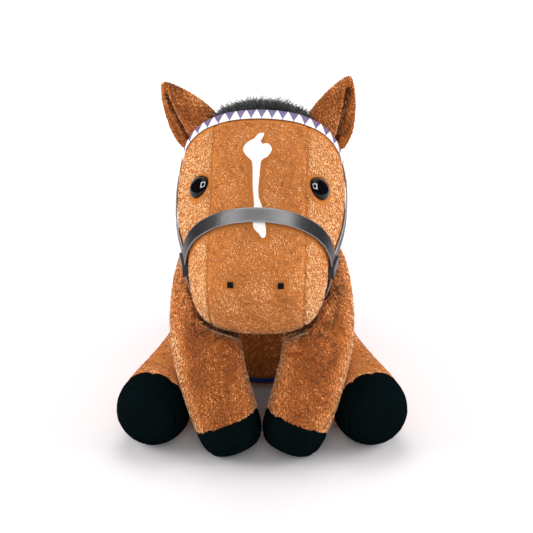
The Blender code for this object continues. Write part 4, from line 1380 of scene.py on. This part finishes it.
# %% Printed browband ribbon
# The rib of a satin ribbon is finer than the picture can show, so it is drawn at 0.5 mm.
RIB_MM = 0.5
brow_ribbon, tree, shader = new_material("printed_satin_ribbon", 0.5, Sheen_Weight=0.1)
along, across, _ = read_map(tree)
turns = calculate(tree, "MULTIPLY", along, round(brow_length / TRIANGLE_PITCH))
edge = remap(tree, calculate(tree, "PINGPONG", turns, 0.5), 0.0, 0.5, 1.02, -0.06)
inked = remap(tree, calculate(tree, "SUBTRACT", across, edge), -0.02, 0.02)
ink = mixed(tree, noise(tree, 90.0, 3.0), "#46355f", "#685585")
ribs = calculate(tree, "MULTIPLY", along, 2 * math.pi * brow_length / (RIB_MM * MM))
feed(shader, Base_Color=mixed(tree, inked, "#eae8ea", ink),
     Normal=bumps(tree, 0.2, 0.05 * MM, calculate(tree, "SINE", ribs)))

# %% Woven and stitched thread
# A wave texture of scale 0.314 repeats once in a unit.
WAVE_SCALE = 0.314
THREAD_MM = 0.45


def threads(name, roughness, dark, light, wave, depth, detail=(), turned=None, **sockets):
    """Threads side by side, as waves of two colours that stand up by a depth in mm."""
    made, tree, shader = new_material(name, roughness, **sockets)
    place = place_on(tree)
    if turned:
        place = add(tree, "ShaderNodeMapping", {"vector_type": "POINT"},
                    {"Vector": place, "Rotation": turned}).outputs[0]
    direction, pitch_mm, strength = wave
    rows = add(tree, "ShaderNodeTexWave", {"bands_direction": direction},
               {"Vector": place, "Scale": WAVE_SCALE / (pitch_mm * MM), **dict(detail)}).outputs[1]
    feed(shader, Base_Color=mixed(tree, rows, dark, light),
         Normal=bumps(tree, strength, depth * MM, rows))
    return made


def stitched(name, dark, light, roughness, sheen):
    """Embroidery thread laid across the head, in waves as wide as a thread."""
    return threads(name, roughness, dark, light, ("Y", THREAD_MM, 0.35), 0.12,
                   {"Distortion": 0.8, "Detail": 1.0}, (-HEAD_PITCH, 0.0, -HEAD_TURN),
                   Sheen_Weight=sheen, Specular_IOR_Level=0.05)


navy_ribbon = threads("navy_grosgrain_ribbon", 0.6, "#0e1f55", "#183583", ("X", RIB_MM, 0.4), 0.1,
                      {"Distortion": 0.4}, Specular_IOR_Level=0.15)
white_satin = stitched("white_satin_stitch_thread", "#d6d3d1", "#f2f0ee", 0.55, 0.2)
black_thread = stitched("black_embroidery_thread", "#060607", "#121214", 0.7, 0.0)

# %% [markdown]
# Dressing
#
# Every piece gets its finish and rides on the body that carries it. A skin stands for its CAD
# solid, and its pile rides with it.

# %% Finishes and bodies
BODY_OF = {node: body for body, nodes in frame["record"]["behaviour"]["bodies"].items()
           for node in nodes}


def dress(piece, finish, node, stands_for=True):
    """Gives a piece its finish, and lets it ride where its node rides."""
    piece.data.materials.clear()
    piece.data.materials.append(finish)
    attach(piece, BODY_OF[node])
    if stands_for:
        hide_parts(node)


for side in SIGNS:
    dress(eyes[side], eye_plastic, "eye_" + side)
    dress(nostrils[side], black_thread, "nostril_" + side)
    dress(cheek_straps[side], strap_leather, "cheek_strap_" + side)
    for kind, finish in (("eye_washer_", washer_plastic), ("strap_loop_", loop_leather)):
        for material_slot in frame["nodes"][kind + side].material_slots:
            material_slot.material = finish
dress(blaze, white_satin, "blaze")
dress(browband, brow_ribbon, "browband")
dress(noseband, strap_leather, "noseband")
dress(headpiece, strap_leather, "headpiece")
dress(girth, navy_ribbon, "girth_band")
for node, base, strands in (("mane", mane_skin, mane_hair), ("tail", tail_skin, tail_hair)):
    dress(base, long_backing, node)
    dress(strands, long_pile, node, stands_for=False)

# %% Pile on every skin
head_turn = np.array(head_place)[:3, :3]
trims_on_head = [blaze, browband, noseband, headpiece, *cheek_straps.values(), *nostrils.values(),
                 *eyes.values()]


def on_gusset(middle, aim):
    """Faces of the head that lie on its gusset."""
    local = in_head(middle)
    return (np.abs(local[:, 0]) < GUSSET_HALF_WIDTH) & on_upper_side(local)


def off_gusset(middle, aim):
    return ~on_gusset(middle, aim)


def even(level, outwards=0.0):
    """A painted paleness all over a piece, and how much paler the sides that face left and right
    are painted: painted light where the side lamps fall.
    """
    return lambda roots, normals: level + outwards * smoothstep(0.55, 0.95, np.abs(normals[:, 0]))


def in_wrinkles(side):
    """A wrinkle shortens its pile and paints it in shade, about twice as wide as a seam does."""
    return lambda points: from_wrinkles(side)(points) / 2


CUT_FACING, CUT_NEAR = 0.97, 0.3 * MM


def not_sewn(kind, side):
    """Faces of a leg's pieces that aren't the flat cuts where the seams lie."""
    planes, direction = seams_of(kind, side)

    def keep(middle, aim):
        flat = np.abs(aim @ np.array(direction)) > CUT_FACING
        near = np.minimum(*[np.abs((middle - np.array(point)) @ np.array(direction))
                            for point in planes]) < CUT_NEAR
        return ~(flat & near)

    return keep


# The way that the pile lies on each kind of piece. A hind leg's also turns outwards.
NAPS = {"head": head_turn @ [0, -1.0, -0.3], "torso": (0, -0.2, -1.0), "fore": (0, -0.6, -0.8),
        "hind": (0.2, -1.0, -0.1), "ear": (0, 0, 1.0)}
# The ledge under the chin is painted paler, as painted light against the chin's shadow, and its pile grows longer.
LEDGE_FACING, LEDGE_FRONT = (0.6, 0.85), (-78 * MM, -73 * MM)
LEDGE_HEIGHT, LEDGE_PAINTED_LIGHT, LEDGE_TALL = 50 * MM, 0.15, 1.3
# How pale a foreleg's pile is painted, as painted light and shade.
FORE_SIDES, FORE_LOW = (0.4, 0.97), (15 * MM, 55 * MM)
FORE_PALE, FORE_SIDES_PALE, FORE_LOW_PALE = 0.1, 0.6, 0.12


def on_ledge(roots, normals):
    """1 on the hollow of a foreleg where the chin rests, and 0 elsewhere."""
    return (smoothstep(*LEDGE_FACING, normals[:, 2]) * smoothstep(*LEDGE_FRONT, roots[:, 1])
            * (roots[:, 2] > LEDGE_HEIGHT))


def foreleg_painted_light_and_shade(roots, normals):
    """Painted light and shade: deep in front, in the head's shade, and painted paler at both sides, down at the
    hoof and under the chin.
    """
    sides = smoothstep(*FORE_SIDES, np.abs(normals[:, 0]))
    low = 1 - smoothstep(*FORE_LOW, roots[:, 2])
    return (FORE_PALE + FORE_SIDES_PALE * sides + FORE_LOW_PALE * low
            + LEDGE_PAINTED_LIGHT * on_ledge(roots, normals))


def tall_on_ledge(roots, normals):
    return LEDGE_TALL * on_ledge(roots, normals)


PILE_LENGTH, EAR_PILE, HOOF_PILE, BLADE_WIDTH = 1.3 * MM, 1.2 * MM, 0.7 * MM, 0.5 * MM
BLADES_PER_MM2, TORSO_BLADES_PER_MM2 = 2.9, 2.0
LEAN, EAR_LEAN = 1.12, 0.9
# How pale each piece's pile is painted, as painted light and shade: cheeks and hind legs paler where lit, torso
# and forelegs deeper in shade.
GUSSET_PALE, CHEEK_PALE, TORSO_PALE, HIND_PALE = 0.46, 0.88, 0.2, 0.75
EAR_PALE, EAR_SIDES_PALE = 0.28, 0.3


def coats_of(node, kind, side, dark):
    """The coats of pile on a skin: each has a name, and what differs from the common coat."""
    if kind == "head":
        common = {"trims": trims_on_head, "seam": gusset_distance}
        return {"gusset_pile": {"keep": on_gusset, "pale": even(GUSSET_PALE), **common},
                "cheeks_pile": {"keep": off_gusset, "pale": even(CHEEK_PALE), **common}}
    if kind == "torso":
        return {"torso_pile": {"per_mm2": TORSO_BLADES_PER_MM2, "trims": (girth,),
                               "seam": chest_seam, "pale": even(TORSO_PALE)}}
    if kind == "ear":
        return {node + "_pile": {"length": EAR_PILE, "lean": EAR_LEAN,
                                 "pale": even(EAR_PALE, EAR_SIDES_PALE),
                                 "keep": lambda middle, aim: fold_depth(side, middle) < 0.5}}
    own = {"keep": not_sewn(kind, side)}
    if dark:
        own["length"] = HOOF_PILE
    if kind == "fore":
        own.update(pale=foreleg_painted_light_and_shade, tall=tall_on_ledge)
    if kind == "hind":
        own.update(pale=even(HIND_PALE))
    if node.startswith("foreleg"):
        own.update(seam=in_wrinkles(side))
    return {node + "_pile": own}


for node, piece in skins.items():
    dark = "hoof" in node or "sole" in node
    kind = node.partition("_")[0].removesuffix("leg")
    side = node.rpartition("_")[2]
    way = np.array(NAPS[kind])
    if kind == "hind":
        way[0] *= SIGNS[side]
    finish, slot = (black_pile, "black_plush") if dark else (brown_pile, "brown_plush")
    # The head and hind legs take the backing's painted lit copy, the other brown pieces its painted shaded copy.
    cloth = black_backing if dark else lit_brown_backing if kind in ("head", "hind") else shaded_brown_backing
    dress(piece, cloth, node)
    common = {"per_mm2": BLADES_PER_MM2, "length": PILE_LENGTH, "width": BLADE_WIDTH,
              "nap": steady(way), "lean": LEAN}
    for name, own in coats_of(node, kind, side, dark).items():
        coat = pile(name, piece, **{**common, **own})
        dress(coat, finish, node, stands_for=False)
